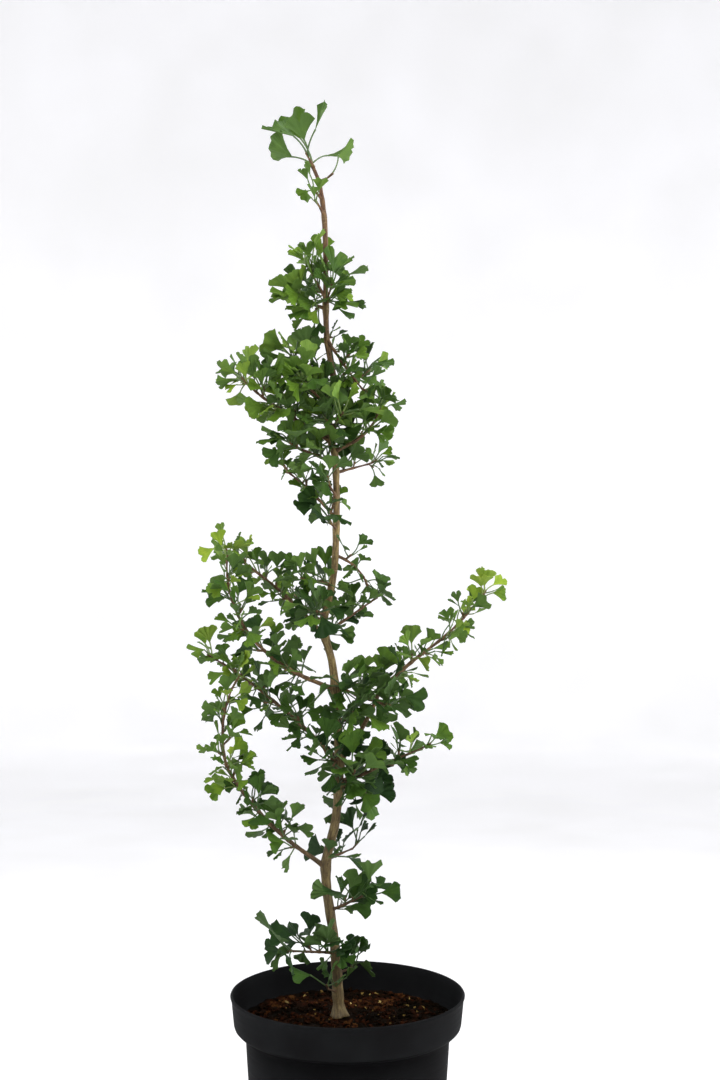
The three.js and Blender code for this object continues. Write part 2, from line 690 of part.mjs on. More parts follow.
const finish = (color, roughness) =>
  new THREE.MeshStandardMaterial({ color, roughness, metalness: 0, side: THREE.DoubleSide });
const FINISHES = {
  pot: finish(0x1c1d1f, 0.55),
  soil: finish(0x3a2117, 1),
  bark: finish(0x7d6750, 0.85),
  leaf: finish(0x2f6b2a, 0.6),
};

function named(name, solid, material) {
  const mesh = new THREE.Mesh(geometryFrom(solid), material);
  mesh.name = name;
  return mesh;
}

/** The trunk, the boughs cut clear of it, and the masses of foliage. */
function buildTree() {
  const plan = planLimbs();
  const trunk = trunkSolid();
  const room = trunkSolid(TRUNK_GAP);
  const boughs = plan.boughs.map(({ name, line }) => ({
    name, solid: limbSolid(line, BOUGH.sides, BOUGH.steps).subtract(room),
  }));
  const masses = growMasses(plan, [trunk, ...boughs.map(({ solid }) => solid)]);

  const tree = new THREE.Group();
  tree.add(named("trunk", trunk, FINISHES.bark));
  for (const { name, solid } of boughs) tree.add(named(name, solid, FINISHES.bark));
  for (const { name, solid, fromTrunk } of masses) {
    tree.add(named(name, fromTrunk ? solid.subtract(room) : solid, FINISHES.leaf));
  }
  return tree;
}

const pottedTree = new THREE.Group();
pottedTree.add(named("pot", potSolid(), FINISHES.pot));
pottedTree.add(named("growing_medium", soilSolid(), FINISHES.soil));
pottedTree.add(buildTree());

export default pottedTree;
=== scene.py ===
"""A young ginkgo in a round black nursery pot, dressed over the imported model.

The limbs and leaves grow by the same rule, from the same sizes, as the part's own solids.
Sizes are in millimetres until a mesh is made, with +Z up and the front towards -Y.
"""

import math
from dataclasses import dataclass

import bpy
import numpy as np
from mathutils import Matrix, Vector, noise


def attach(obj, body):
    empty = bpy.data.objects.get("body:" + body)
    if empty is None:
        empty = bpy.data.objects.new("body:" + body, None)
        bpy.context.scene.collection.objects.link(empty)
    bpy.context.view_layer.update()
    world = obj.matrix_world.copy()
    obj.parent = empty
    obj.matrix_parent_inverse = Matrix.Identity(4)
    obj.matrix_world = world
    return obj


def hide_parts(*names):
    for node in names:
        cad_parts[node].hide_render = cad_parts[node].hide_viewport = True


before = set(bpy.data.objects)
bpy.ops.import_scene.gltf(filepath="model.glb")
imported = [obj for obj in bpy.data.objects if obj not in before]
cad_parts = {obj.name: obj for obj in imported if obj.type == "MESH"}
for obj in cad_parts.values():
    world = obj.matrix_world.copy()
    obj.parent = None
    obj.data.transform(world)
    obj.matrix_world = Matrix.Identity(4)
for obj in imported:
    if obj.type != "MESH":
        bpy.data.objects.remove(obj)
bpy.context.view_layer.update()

MM = 0.001

# ---------------------------------------------------------------- sizes of the tree

GAP = 0.3  # between one solid and the next
GOLDEN_ANGLE = 137.5
SOIL_TOP = 178

# Trunk stations: height, shift to the right, shift to the back, thickness.
TRUNK = [
    (178.3, -10, 0, 19),
    (192, -10.5, 1, 12.6),
    (260, -15, 2, 11),
    (345, -25, 2, 10.8),
    (400, -14, -1, 10.4),
    (450, -10, -3, 10.2),
    (535, -13, -1, 9.6),
    (580, -18, 2, 8.8),
    (622, -28, 5, 8.4),
    (650, -22, 5, 7.8),
    (694, -14.5, 3, 7.6),
    (810, -14, -3, 7.2),
    (850, -22.5, -2, 7),
    (895, -15.5, 2, 6.6),
    (950, -24, 4, 6.2),
    (1075, -26, -1, 5.8),
    (1125, -32, -3, 4.2),
    (1146, -40, -4, 3.2),
]

BOUGH_TAPER = 0.88
STEM_RADII = (1.6, 0.9)
SPUR = dict(
    spacing=18,
    first=0.35,
    play=0.4,
    shortest=6,
    longest=13,
    along=0.5,
    up=0.35,
    end_spread=0.3,
    sunk=2.2,
    leaf_step=1.9,
)

# Limbs with a bough: the height where each leaves the trunk, its azimuth (0 right, 90 back) and
# rise in degrees, the bough's bare length and radius, and the masses of foliage along it. A
# mass has its stem's length, the change of its rise at its foot (bend) and along it (lift), the
# leaves on each spur and the blades' length.
LIMBS = [
    dict(name="lower_left", height=347, azimuth=194, rise=36, bough=26, radius=2.7,
         masses=[dict(length=132, lift=24, blade=23),
                 dict(length=92, bend=14, lift=40, leaves=3, blade=22)]),
    dict(name="middle_left", height=468, azimuth=165, rise=42, bough=28, radius=2.4,
         masses=[dict(length=90, lift=-6, blade=24), dict(length=66, lift=-8, leaves=3, blade=23)]),
    dict(name="long_right", height=466, azimuth=15, rise=50, bough=88, bough_lift=18, radius=2.7,
         masses=[dict(length=78, bend=-24, lift=-10, blade=22),
                 dict(length=80, lift=18, blade=22)]),
    dict(name="long_left", height=549, azimuth=200, rise=22, bough=26, radius=2.6,
         masses=[dict(length=72, lift=22, blade=23), dict(length=106, lift=48, blade=22)]),
    dict(name="back_right", height=552, azimuth=45, rise=2, bough=20, radius=2.1,
         masses=[dict(length=40, lift=-10, blade=25)]),
    dict(name="upper_left", height=610, azimuth=168, rise=46, bough=22, radius=2.2,
         masses=[dict(length=58, lift=-8, leaves=2, blade=22), dict(length=66, lift=-5, blade=21)]),
    dict(name="back_left", height=625, azimuth=120, rise=18, bough=18, radius=2.1,
         masses=[dict(length=48, lift=10, leaves=3, blade=25)]),
    dict(name="top_right", height=820, azimuth=350, rise=25, bough=16, radius=2.2,
         masses=[dict(length=46, lift=40, leaves=5, blade=24)]),
    dict(name="top_left", height=832, azimuth=190, rise=30, bough=33, radius=2.4,
         masses=[dict(length=46, lift=5, leaves=5, blade=26),
                 dict(length=34, lift=8, leaves=7, blade=26)]),
]


def shoot(name, height, azimuth, rise, length, **mass):
    """A mass that grows straight from the trunk, told in the same way."""
    return dict(name=name, height=height, azimuth=azimuth, rise=rise, length=length, **mass)


SHOOTS = [
    shoot("foot", 206, 240, 20, 22, leaves=2, blade=25),
    shoot("foot_right", 226, 12, 18, 18, leaves=3, blade=25),
    shoot("low_left", 250, 215, 10, 58, leaves=4, blade=28),
    shoot("low_right", 298, 330, 22, 46, lift=8, leaves=3, blade=27),
    shoot("low_back", 356, 25, 16, 34, leaves=3, blade=26),
    shoot("lower_front", 444, 300, 22, 34, leaves=5, blade=28),
    shoot("lower_side", 466, 240, 24, 30, leaves=5, blade=26),
    shoot("lower_back", 440, 12, -14, 34, leaves=3, blade=26),
    shoot("lower_right", 438, 352, 30, 104, lift=-8, leaves=2, blade=27),
    shoot("middle_front", 508, 300, 26, 32, leaves=5, blade=26),
    shoot("middle_right", 556, 330, -26, 64, lift=16, leaves=5, blade=27),
    shoot("short_right", 612, 12, 34, 66, leaves=3, blade=22),
    shoot("upper_front", 634, 258, 6, 36, leaves=5, blade=27),
    shoot("upper_side", 668, 205, 12, 33, leaves=5, blade=25),
    shoot("hanging_right", 702, 8, -18, 43, lift=-40, leaves=2, blade=22),
    shoot("high_left", 732, 255, 15, 18, leaves=5, blade=26),
    shoot("small_left", 743, 190, 50, 76, lift=-12, leaves=2, blade=18),
    shoot("high_front", 768, 250, 30, 26, leaves=5, blade=24),
    shoot("high_back", 796, 25, 15, 44, leaves=3, blade=24),
    shoot("crown_low", 806, 196, 22, 50, leaves=5, blade=28),
    shoot("crown_front", 839, 285, 20, 46, blade=26),
    shoot("crown_back", 855, 110, 30, 50, lift=6, leaves=3, blade=26),
    shoot("crown_side", 870, 228, 26, 51, lift=10, leaves=5, blade=26),
    shoot("crown_right", 900, 12, 12, 32, leaves=5, blade=24),
    shoot("crown_left", 908, 176, 20, 44, leaves=5, blade=28),
    shoot("arching_right", 950, 322, -54, 80, lift=8, leaves=3, blade=21),
    shoot("neck_left", 984, 200, 14, 28, leaves=5, blade=26),
    shoot("neck_right", 988, 280, 20, 28, leaves=5, blade=28),
    shoot("neck_top", 996, 180, 60, 30, leaves=5, blade=27),
    shoot("leader", 1090, 235, 44, 11, leaves=3, blade=17),
    shoot("leader_side", 1108, 215, 40, 11, leaves=3, blade=17),
    shoot("leader_right", 1128, 345, 20, 10, leaves=1, blade=27),
    shoot("tip", 1144, 170, 65, 12, spurs=2, leaves=3, blade=40),
]
USUAL_LEAVES = 4
TREE_SEED = 8
# Steps that keep the streams of draws apart.
SEEDS = dict(tree=100, mass=7919, spur=613, leaf=37, fine=5000, young=100, spray=91, look=5000)

LEAF = dict(
    spread=(22, 72),
    stalk=(0.3, 0.85),
    size=(0.78, 1.16),
    upward=0.3,
    droop=(-0.3, 0.8),
    roll=75,
    half_angle=(34, 48),
    corner=0.88,
    notch=(0.76, 0.94),
    cup=(-0.1, 0.16),
    turn_play=90,
    turn_retry=45,
    attempts=10,
)
CLEAR = dict(blade=5.0, limb=2.5, stalk=2.5, soil=2.0, reach=110)
LIMB_POINT_SPACING = 5

# The finer growth, in the room that is left: smaller leaves in every rosette, and short young
# spurs between the others.
FINE = dict(least_stem=16, leaves=1, crown=780, crown_leaves=3, size=0.8)
FINE_SPUR = dict(length=0.55, leaves=3, shift=0.5)
FINE_CLEAR = dict(blade=3.0, limb=1.8, stalk=1.3, soil=2.0, reach=110)

# Where points stand for a blade in the tests for free space: each row's radius and shares.
BLADE_SAMPLES = ((0.3, (0,)), (0.6, (-0.8, 0, 0.8)), (0.93, (-1, -0.5, 0, 0.5, 1)))
STALK_SAMPLE = 0.6


# ---------------------------------------------------------------- seeded draws and directions


def draws(seed):
    """A stream of numbers from 0 to 1 that depends on its seed alone."""
    state = (seed * 2654435761) & 0xFFFFFFFF

    def following():
        nonlocal state
        state = (state * 1664525 + 1013904223) & 0xFFFFFFFF
        return state / 4294967296

    following()
    following()
    return following


def between(limits, draw):
    return limits[0] + (limits[1] - limits[0]) * draw()


UP = np.array([0.0, 0.0, 1.0])


def unit(v):
    return v / np.linalg.norm(v)


def heading(azimuth, rise):
    """The unit vector that points to an azimuth and rises above level, in degrees."""
    a, r = math.radians(azimuth), math.radians(rise)
    return np.array([math.cos(r) * math.cos(a), math.cos(r) * math.sin(a), math.sin(r)])


def across(axis):
    """Two unit vectors across an axis."""
    first = UP if abs(axis[2]) < 0.9 else np.array([1.0, 0.0, 0.0])
    side = unit(np.cross(first, axis))
    return side, np.cross(axis, side)


def trunk_at(height):
    """Trunk centre and radius at a height: a smooth curve through the stations."""
    last = len(TRUNK) - 1
    i = 0
    while i < last - 1 and TRUNK[i + 1][0] < height:
        i += 1
    before, here = TRUNK[max(i - 1, 0)], TRUNK[i]
    following, after = TRUNK[i + 1], TRUNK[min(i + 2, last)]
    span = following[0] - here[0]
    t = (height - here[0]) / span

    def smooth(column):
        slope = (following[column] - before[column]) / (following[0] - before[0])
        next_slope = (after[column] - here[column]) / (after[0] - here[0])
        return (
            (2 * t**3 - 3 * t**2 + 1) * here[column]
            + (t**3 - 2 * t**2 + t) * span * slope
            + (3 * t**2 - 2 * t**3) * following[column]
            + (t**3 - t**2) * span * next_slope
        )

    thickness = here[3] + (following[3] - here[3]) * t
    return np.array([smooth(1), smooth(2), height]), thickness / 2


@dataclass
class Line:
    """A line that starts at a point and turns evenly as it grows; places run from 0 to 1."""

    start: np.ndarray
    azimuth: float
    rise: float
    lift: float
    length: float
    radii: tuple

    def heading_at(self, t):
        return heading(self.azimuth, self.rise + self.lift * t)

    def point_at(self, t):
        steps = 12
        point = self.start.copy()
        for k in range(steps):
            point = point + self.heading_at(((k + 0.5) / steps) * t) * (t * self.length / steps)
        return point

    def radius_at(self, t):
        return self.radii[0] + (self.radii[1] - self.radii[0]) * t

    def across_at(self, t):
        a = math.radians(self.azimuth)
        side = np.array([-math.sin(a), math.cos(a), 0.0])
        return side, np.cross(self.heading_at(t), side)


def plan_limbs():
    """The boughs and the masses' stems as lines of growth, in order."""
    boughs, masses = [], []

    def add_mass(name, line, mass, last):
        seed = TREE_SEED * SEEDS["tree"] + len(masses)
        own = dict(name="foliage_" + name, line=line, last=last, seed=seed)
        masses.append({"leaves": USUAL_LEAVES, **mass, **own})

    for limb in LIMBS:
        start, trunk_radius = trunk_at(limb["height"])
        azimuth, rise, radius = limb["azimuth"], limb["rise"], limb["radius"]
        lift = limb.get("bough_lift", 0)
        radii = (radius, radius * BOUGH_TAPER)
        bough = Line(start, azimuth, rise, lift, limb["bough"] + trunk_radius, radii)
        boughs.append(dict(name="bough_" + limb["name"], line=bough))
        start = bough.point_at(1)
        rise += lift
        radius = radii[1]
        for i, mass in enumerate(limb["masses"]):
            bend = mass.get("bend", 0)
            rise += bend
            angle = math.radians(abs(bend))
            clear = (GAP + radius * math.sin(angle)) / math.cos(angle)
            start = start + heading(azimuth, rise) * clear
            last = i == len(limb["masses"]) - 1
            tip_radius = STEM_RADII[1] if last else (radius + STEM_RADII[1]) / 2
            lift = mass.get("lift", 0)
            stem = Line(start, azimuth, rise, lift, mass["length"], (radius, tip_radius))
            place = "" if len(limb["masses"]) == 1 else ("_inner", "_outer")[i]
            add_mass(limb["name"] + place, stem, mass, last)
            rise += lift
            radius = tip_radius
            start = stem.point_at(1)
    for mass in SHOOTS:
        start, _ = trunk_at(mass["height"])
        lift = mass.get("lift", 0)
        stem = Line(start, mass["azimuth"], mass["rise"], lift, mass["length"], STEM_RADII)
        add_mass(mass["name"], stem, dict(mass, from_trunk=True), True)
    return boughs, masses


# ---------------------------------------------------------------- spurs and leaves


def spurs_on(mass, fine=False):
    """The spurs round a stem, a golden angle apart, one at its limb's end. Fine ones between."""
    line = mass["line"]
    draw = draws(mass["seed"] + (SEEDS["fine"] if fine else 0))
    phase = 360 * draw()
    count = mass.get("spurs") or max(1, math.floor(line.length / SPUR["spacing"] + 0.5))
    spurs = []
    for i in range(count):
        last = mass["last"] and i == count - 1 and not fine
        t = 1 if last else (i + SPUR["first"] + SPUR["play"] * draw()) / count
        if fine:
            t = (t + FINE_SPUR["shift"] / count) % 1
        angle = math.radians(phase + GOLDEN_ANGLE * i)
        side, over = line.across_at(t)
        out = SPUR["end_spread"] if last else 1
        axis = line.heading_at(t) * (1 if last else SPUR["along"])
        axis = axis + side * out * math.cos(angle) + over * out * math.sin(angle)
        axis = unit(axis + UP * SPUR["up"])
        length = SPUR["shortest"] + (SPUR["longest"] - SPUR["shortest"]) * draw() ** 2
        length *= FINE_SPUR["length"] if fine else 1
        foot = line.point_at(t)
        tip = foot + axis * (length + line.radius_at(t) / 2)
        spurs.append(dict(foot=foot, tip=tip, axis=axis, last=last, fine=fine))
    return spurs


def leaf_on(spur, mass, spur_index, leaf_index, attempt, size=1.0):
    """One leaf of a spur's rosette. Each attempt has its own draws."""
    seed = mass["seed"] * SEEDS["mass"] + spur_index * SEEDS["spur"] + leaf_index * SEEDS["leaf"]
    draw = draws(seed + attempt)
    side, over = across(spur["axis"])
    turn = LEAF["turn_play"] * draw() + LEAF["turn_retry"] * attempt
    around = math.radians(GOLDEN_ANGLE * leaf_index + turn)
    spread = math.radians(between(LEAF["spread"], draw))
    stalk = spur["axis"] * math.cos(spread)
    stalk = stalk + side * math.sin(spread) * math.cos(around)
    stalk = stalk + over * math.sin(spread) * math.sin(around)
    stalk = unit(stalk + UP * LEAF["upward"])
    length = mass["blade"] * between(LEAF["size"], draw) * size
    step = SPUR["leaf_step"] * (FINE_SPUR["length"] if spur["fine"] else 1)
    sunk = SPUR["sunk"] + step * (leaf_index % mass["leaves"])
    root = spur["tip"] - spur["axis"] * sunk
    base = root + stalk * (SPUR["sunk"] + length * between(LEAF["stalk"], draw))
    forward = unit(stalk - UP * between(LEAF["droop"], draw))
    level = UP if abs(forward[2]) < 0.95 else stalk
    flat = unit(level - forward * level.dot(forward))
    roll = math.radians(LEAF["roll"] * (2 * draw() - 1))
    normal = flat * math.cos(roll) + np.cross(forward, flat) * math.sin(roll)
    return dict(
        root=root,
        base=base,
        right=np.cross(forward, normal),
        forward=forward,
        normal=normal,
        length=length,
        half_angle=between(LEAF["half_angle"], draw),
        notch=between(LEAF["notch"], draw),
        cup=between(LEAF["cup"], draw),
    )


def fan_point(leaf, angle, reach, height=0):
    """A point of a leaf: at an angle from its middle line, this far out and this high above it."""
    return (
        leaf["base"]
        + leaf["right"] * math.sin(angle) * reach
        + leaf["forward"] * math.cos(angle) * reach
        + leaf["normal"] * height
    )


def samples_of(leaf):
    """Points that stand for a leaf's blade and stalk in the tests for free space."""
    blade = [
        fan_point(leaf, math.radians(leaf["half_angle"] * share), radius * leaf["length"])
        for radius, shares in BLADE_SAMPLES
        for share in shares
    ]
    on_stalk = leaf["root"] * (1 - STALK_SAMPLE) + leaf["base"] * STALK_SAMPLE
    return np.array(blade), np.array([on_stalk, leaf["base"]])


def gaps(points, others):
    """The distance from every point to every one of the others."""
    return np.sqrt(((points[:, None] - others[None]) ** 2).sum(2))


class Room:
    """The space that is taken by limbs and by leaves that already grew."""

    def __init__(self, lines):
        points = []
        for height in np.arange(TRUNK[0][0], TRUNK[-1][0], LIMB_POINT_SPACING):
            centre, radius = trunk_at(height)
            points.append((*centre, radius))
        for line in lines:
            count = math.ceil(line.length / LIMB_POINT_SPACING)
            for i in range(count + 1):
                points.append((*line.point_at(i / count), line.radius_at(i / count)))
        self.limbs = np.array(points)
        self.placed = []
        self.middles = np.zeros((0, 3))

    def is_free(self, samples, clear):
        blade, stalk = samples
        if (blade[:, 2] < SOIL_TOP + clear["soil"]).any():
            return False
        if (gaps(blade, self.limbs[:, :3]) < self.limbs[None, :, 3] + clear["limb"]).any():
            return False
        near = ((self.middles - blade[0]) ** 2).sum(1) <= clear["reach"] ** 2
        for k in np.nonzero(near)[0]:
            other_blade, other_stalk = self.placed[k]
            if gaps(blade, other_blade).min() < clear["blade"]:
                return False
            stalks = gaps(blade, other_stalk).min(), gaps(stalk, other_blade).min()
            if min(stalks) < clear["stalk"]:
                return False
        return True

    def take(self, samples):
        self.placed.append(samples)
        self.middles = np.vstack([self.middles, samples[0][:1]])


def grow_leaves(boughs, masses):
    """The leaves of every mass, and then the finer ones in the room that is left."""
    room = Room([limb["line"] for limb in [*boughs, *masses]])
    leaves = []

    def place(spur, mass, s, index, size, clear):
        for attempt in range(LEAF["attempts"]):
            leaf = leaf_on(spur, mass, s, index, attempt, size)
            samples = samples_of(leaf)
            if room.is_free(samples, clear):
                room.take(samples)
                leaves.append(dict(leaf, mass=mass, spur=spur))
                return

    for mass in masses:
        mass["rosettes"] = spurs_on(mass)
        for s, spur in enumerate(mass["rosettes"]):
            for index in range(mass["leaves"]):
                place(spur, mass, s, index, 1.0, CLEAR)
    for mass in masses:
        if mass["length"] < FINE["least_stem"]:
            continue
        for s, spur in enumerate(mass["rosettes"]):
            more = FINE["crown_leaves" if spur["foot"][2] > FINE["crown"] else "leaves"]
            for index in range(mass["leaves"], mass["leaves"] + more):
                place(spur, mass, s, index, FINE["size"], FINE_CLEAR)
        young = spurs_on(mass, fine=True)
        for s, spur in enumerate(young):
            for index in range(FINE_SPUR["leaves"]):
                place(spur, mass, SEEDS["young"] + s, index, FINE["size"], FINE_CLEAR)
        mass["rosettes"] += young
    return leaves


# ---------------------------------------------------------------- meshes


def put(name, data):
    """A new object in the scene."""
    made = bpy.data.objects.new(name, data)
    bpy.context.collection.objects.link(made)
    return made


class Piece:
    """Gathers points and faces for one mesh, with values kept on each point and corner."""

    def __init__(self):
        self.points = []
        self.faces = []
        self.values = {}
        self.uv = []
        self.count = 0

    def add(self, points, faces, uv=None, **values):
        self.points.append(np.asarray(points, float))
        self.faces += [tuple(int(i) + self.count for i in face) for face in faces]
        self.count += len(points)
        if uv is not None:
            self.uv += [uv[i] for face in faces for i in face]
        for name, value in values.items():
            full = np.asarray(value, float)
            if full.ndim == 0:
                full = np.full(len(points), float(full))
            self.values.setdefault(name, []).append(full)

    def build(self, name, material, sharp=None):
        mesh = bpy.data.meshes.new(name)
        mesh.from_pydata((np.vstack(self.points) * MM).tolist(), [], self.faces)
        mesh.update()
        for key, chunks in self.values.items():
            data = np.concatenate(chunks)
            kind = "FLOAT" if data.ndim == 1 else "FLOAT_VECTOR"
            attribute = mesh.attributes.new(key, kind, "POINT")
            field = "value" if data.ndim == 1 else "vector"
            attribute.data.foreach_set(field, data.astype(np.float32).ravel())
        if self.uv:
            layer = mesh.uv_layers.new(name="UVMap")
            layer.data.foreach_set("uv", np.asarray(self.uv, np.float32).ravel())
        mesh.shade_smooth()
        if sharp:
            mesh.set_sharp_from_angle(angle=math.radians(sharp))
        mesh.materials.append(material)
        return put(name, mesh)


def finished_mesh(piece):
    """The plain mesh that a piece's modifiers make."""
    bpy.context.view_layer.update()
    seen = piece.evaluated_get(bpy.context.evaluated_depsgraph_get())
    return bpy.data.meshes.new_from_object(seen)


def ring(radius, z, sides):
    """The points of a level circle round the axis."""
    turns = [2 * math.pi * j / sides for j in range(sides)]
    return [(radius * math.cos(turn), radius * math.sin(turn), z) for turn in turns]


def pairs(sides):
    """Every number round a ring with the one after it."""
    return [(j, (j + 1) % sides) for j in range(sides)]


def band(a, b, sides, level=False):
    """Faces between two rings of points that start at a and b. They look outwards where b is
    above a. Level ones look up where b is outside a."""
    if level:
        return [(a + j, b + j, b + k, a + k) for j, k in pairs(sides)]
    return [(a + j, a + k, b + k, b + j) for j, k in pairs(sides)]


def tube(piece, centres, radii, sides, relief=None, **values):
    """A closed round tube along centres. relief(angle, length, radius) is its bark's height."""
    centres = np.asarray(centres, float)
    along = np.gradient(centres, axis=0)
    along /= np.linalg.norm(along, axis=1)[:, None]
    side, _ = across(along[0])
    steps = np.linalg.norm(np.diff(centres, axis=0), axis=1)
    lengths = np.concatenate([[0], np.cumsum(steps)])
    points, grain = [], []
    for centre, axis, radius, length in zip(centres, along, radii, lengths):
        side = unit(side - axis * side.dot(axis))
        over = np.cross(axis, side)
        for j in range(sides):
            angle = 2 * math.pi * j / sides
            out = side * math.cos(angle) + over * math.sin(angle)
            bark = relief(angle, length, radius) if relief else 0
            points.append(centre + out * (radius + bark))
            grain.append((math.cos(angle) * radius, math.sin(angle) * radius, length))
    first, last = len(points), len(points) + 1
    top = first - sides
    points += [centres[0], centres[-1]]
    grain += [(0, 0, 0), (0, 0, lengths[-1])]
    faces = []
    for start in range(0, top, sides):
        faces += band(start, start + sides, sides)
    for j, k in pairs(sides):
        faces += [(first, k, j), (last, top + j, top + k)]
    for key, value in values.items():
        if np.ndim(value):
            values[key] = np.concatenate([np.repeat(value, sides), [value[0], value[-1]]])
    piece.add(points, faces, grain=np.array(grain), **values)


def lathe(piece, profile, sides, **values):
    """A closed turned form. profile runs from the axis to the axis, anticlockwise in (r, z)."""
    points = [(0, 0, profile[0][1])]
    for r, z in profile[1:-1]:
        points += ring(r, z, sides)
    last = len(points)
    points.append((0, 0, profile[-1][1]))
    faces = []
    for j, k in pairs(sides):
        faces.append((0, 1 + k, 1 + j))
        for a in range(1, last - sides, sides):
            faces.append((a + j, a + k, a + sides + k, a + sides + j))
        faces.append((last - sides + j, last - sides + k, last))
    for key, value in values.items():
        values[key] = np.concatenate([value[:1], np.repeat(value[1:-1], sides), value[-1:]])
    piece.add(points, faces, **values)


# ---------------------------------------------------------------- bark

# The bark's fissures and its small bumps: how often they come round the stem, their length, their
# share of the depth, and how far the seed moves them.
BARK_PATTERNS = ((2.4, 26, 0.75, 1), (5.5, 7, 0.4, 3))
# Of each kind of wood: the space between rings, the fewest rings, the sides, the bark's depth as
# a share of the radius, and the age, from 0 for young to 1 for old. The trunk's age rises between
# two radii.
TRUNK_SKIN = dict(step=2.2, sides=28, relief=0.1, seed=3.1, age=(2.6, 4.2))
BOUGH_SKIN = dict(step=2, least=6, sides=16, relief=0.16, seed=2.7, age=0.35, overlap=2.5)
TWIG_SKIN = dict(step=3, least=5, sides=10, relief=0.14, seed=1.9, age=0.3)
SPUR_SKIN = dict(rings=11, reach=1.16, sides=8, relief=0.12, seed=7, age=0.45, fine=0.7)
SPUR_RADII = dict(foot=1.1, growth=0.5, widest=1.55, scar=0.16, bud=(1.05, 0.35))
# Swellings, by height and reach. Those of the trunk and the boughs are shares of the radius.
TRUNK_SCAR = (0.3, 6.5)
BOUGH_COLLAR = (0.45, 9)
TWIG_COLLAR = (0.7, 7)
TWIG_KNOT = (0.5, 3.2)
SCAR_DROP = 2  # how far a scar's middle is below its limb
FLARE = dict(share=0.12, height=7)
RIDGES = dict(relief=0.16, seed=8.4, share=0.4, turns=2, stretch=0.4)
ROOTS = dict(number=3, turn=0.8, share=0.21, height=6)


def bark_relief(depth, seed):
    """Lengthwise fissures and small bumps, deeper on thick wood."""

    def height(angle, length, radius):
        total = 0
        for often, long, deep, shift in BARK_PATTERNS:
            x, y = math.cos(angle) * often, math.sin(angle) * often
            total += deep * noise.noise(Vector((x, y, length / long + seed * shift)))
        return depth * radius * total

    return height


def swelling(distances, size):
    """The height of a rounded swelling at these distances from its middle."""
    height, reach = size
    return height * np.exp(-((distances / reach) ** 2))


def stations(line, skin):
    """Places from 0 to 1 along a line, about a step apart, with their centres and radii."""
    places = np.linspace(0, 1, max(skin["least"], round(line.length / skin["step"])))
    centres = np.array([line.point_at(t) for t in places])
    return places, centres, np.array([line.radius_at(t) for t in places])


def trunk_piece(material):
    """The trunk from its root flare to its tip, with the swellings of old leaf scars."""
    piece, skin = Piece(), TRUNK_SKIN
    bottom, top = TRUNK[0][0], TRUNK[-1][0]
    heights = np.arange(bottom, top, skin["step"])
    centres = np.array([trunk_at(h)[0] for h in heights])
    radii = np.array([trunk_at(h)[1] for h in heights])
    for limb in [*LIMBS, *SHOOTS]:
        thick = limb.get("radius", STEM_RADII[0])
        radii += thick * swelling(heights - limb["height"] + SCAR_DROP, TRUNK_SCAR)
    flare = 1 + FLARE["share"] * np.exp(-(heights - bottom) / FLARE["height"])
    bark = bark_relief(skin["relief"], skin["seed"])
    ridge = bark_relief(RIDGES["relief"], RIDGES["seed"])

    def relief(angle, length, radius):
        root = math.cos(ROOTS["number"] * angle + ROOTS["turn"])
        root *= ROOTS["share"] * radius * math.exp(-length / ROOTS["height"])
        low = ridge(angle * RIDGES["turns"], length * RIDGES["stretch"], radius)
        return bark(angle, length, radius) + RIDGES["share"] * low + root

    age = np.interp(radii, skin["age"], (0, 1))
    tube(piece, centres, radii * flare, skin["sides"], relief, age=age)
    return piece.build("trunk_bark", material)


def bough_piece(boughs, material):
    """The bare boughs, each swelling into a collar where it leaves the trunk."""
    piece, skin = Piece(), BOUGH_SKIN
    for n, limb in enumerate(boughs):
        line = limb["line"]
        places, centres, radii = stations(line, skin)
        radii *= 1 + swelling(places * line.length, BOUGH_COLLAR)
        end = centres[-1] + line.heading_at(1) * skin["overlap"]
        relief = bark_relief(skin["relief"], n * skin["seed"])
        tube(piece, [*centres, end], [*radii, radii[-1]], skin["sides"], relief, age=skin["age"])
    return piece.build("bough_bark", material)


def twig_piece(masses, material):
    """Stems with their spurs: short knobbly shoots ringed by old leaf scars."""
    piece, skin = Piece(), TWIG_SKIN
    for n, mass in enumerate(masses):
        line = mass["line"]
        places, centres, radii = stations(line, skin)
        swell = np.zeros(len(places))
        for spur in mass["rosettes"]:
            distances = np.linalg.norm(centres - spur["foot"], axis=1)
            swell = np.maximum(swell, swelling(distances, TWIG_KNOT))
        if mass.get("from_trunk"):
            swell += swelling(places * line.length, TWIG_COLLAR)
        age = skin["age"] * (1 - places) if mass["last"] else skin["age"]
        relief = bark_relief(skin["relief"], n * skin["seed"])
        tube(piece, centres, radii + swell, skin["sides"], relief, age=age)
        for s, spur in enumerate(mass["rosettes"]):
            spur_tube(piece, spur, n * SPUR_SKIN["seed"] + s)
    return piece.build("twig_bark", material)


def spur_tube(piece, spur, seed):
    """A spur: rings of leaf scars, widest near its end, closed by a blunt bud."""
    skin, sizes = SPUR_SKIN, SPUR_RADII
    places = np.linspace(0, skin["reach"], skin["rings"])
    centres = [spur["foot"] + (spur["tip"] - spur["foot"]) * t for t in places]
    scars = sizes["scar"] * np.cos(np.arange(skin["rings"]) * math.pi)
    radii = np.minimum(sizes["foot"] + sizes["growth"] * places, sizes["widest"]) + scars
    radii[-2:] = sizes["bud"]
    radii *= skin["fine"] if spur["fine"] else 1
    tube(piece, centres, radii, skin["sides"], bark_relief(skin["relief"], seed), age=skin["age"])


# ---------------------------------------------------------------- foliage

LEAF_THICKNESS = 0.35
LEAF_FILL = 0.94  # of the length that the rule deals out; the solids' leaves are drawn fuller
LEAF_COLUMNS = 12
LEAF_RINGS = 3
LEAF_SHARP = 55
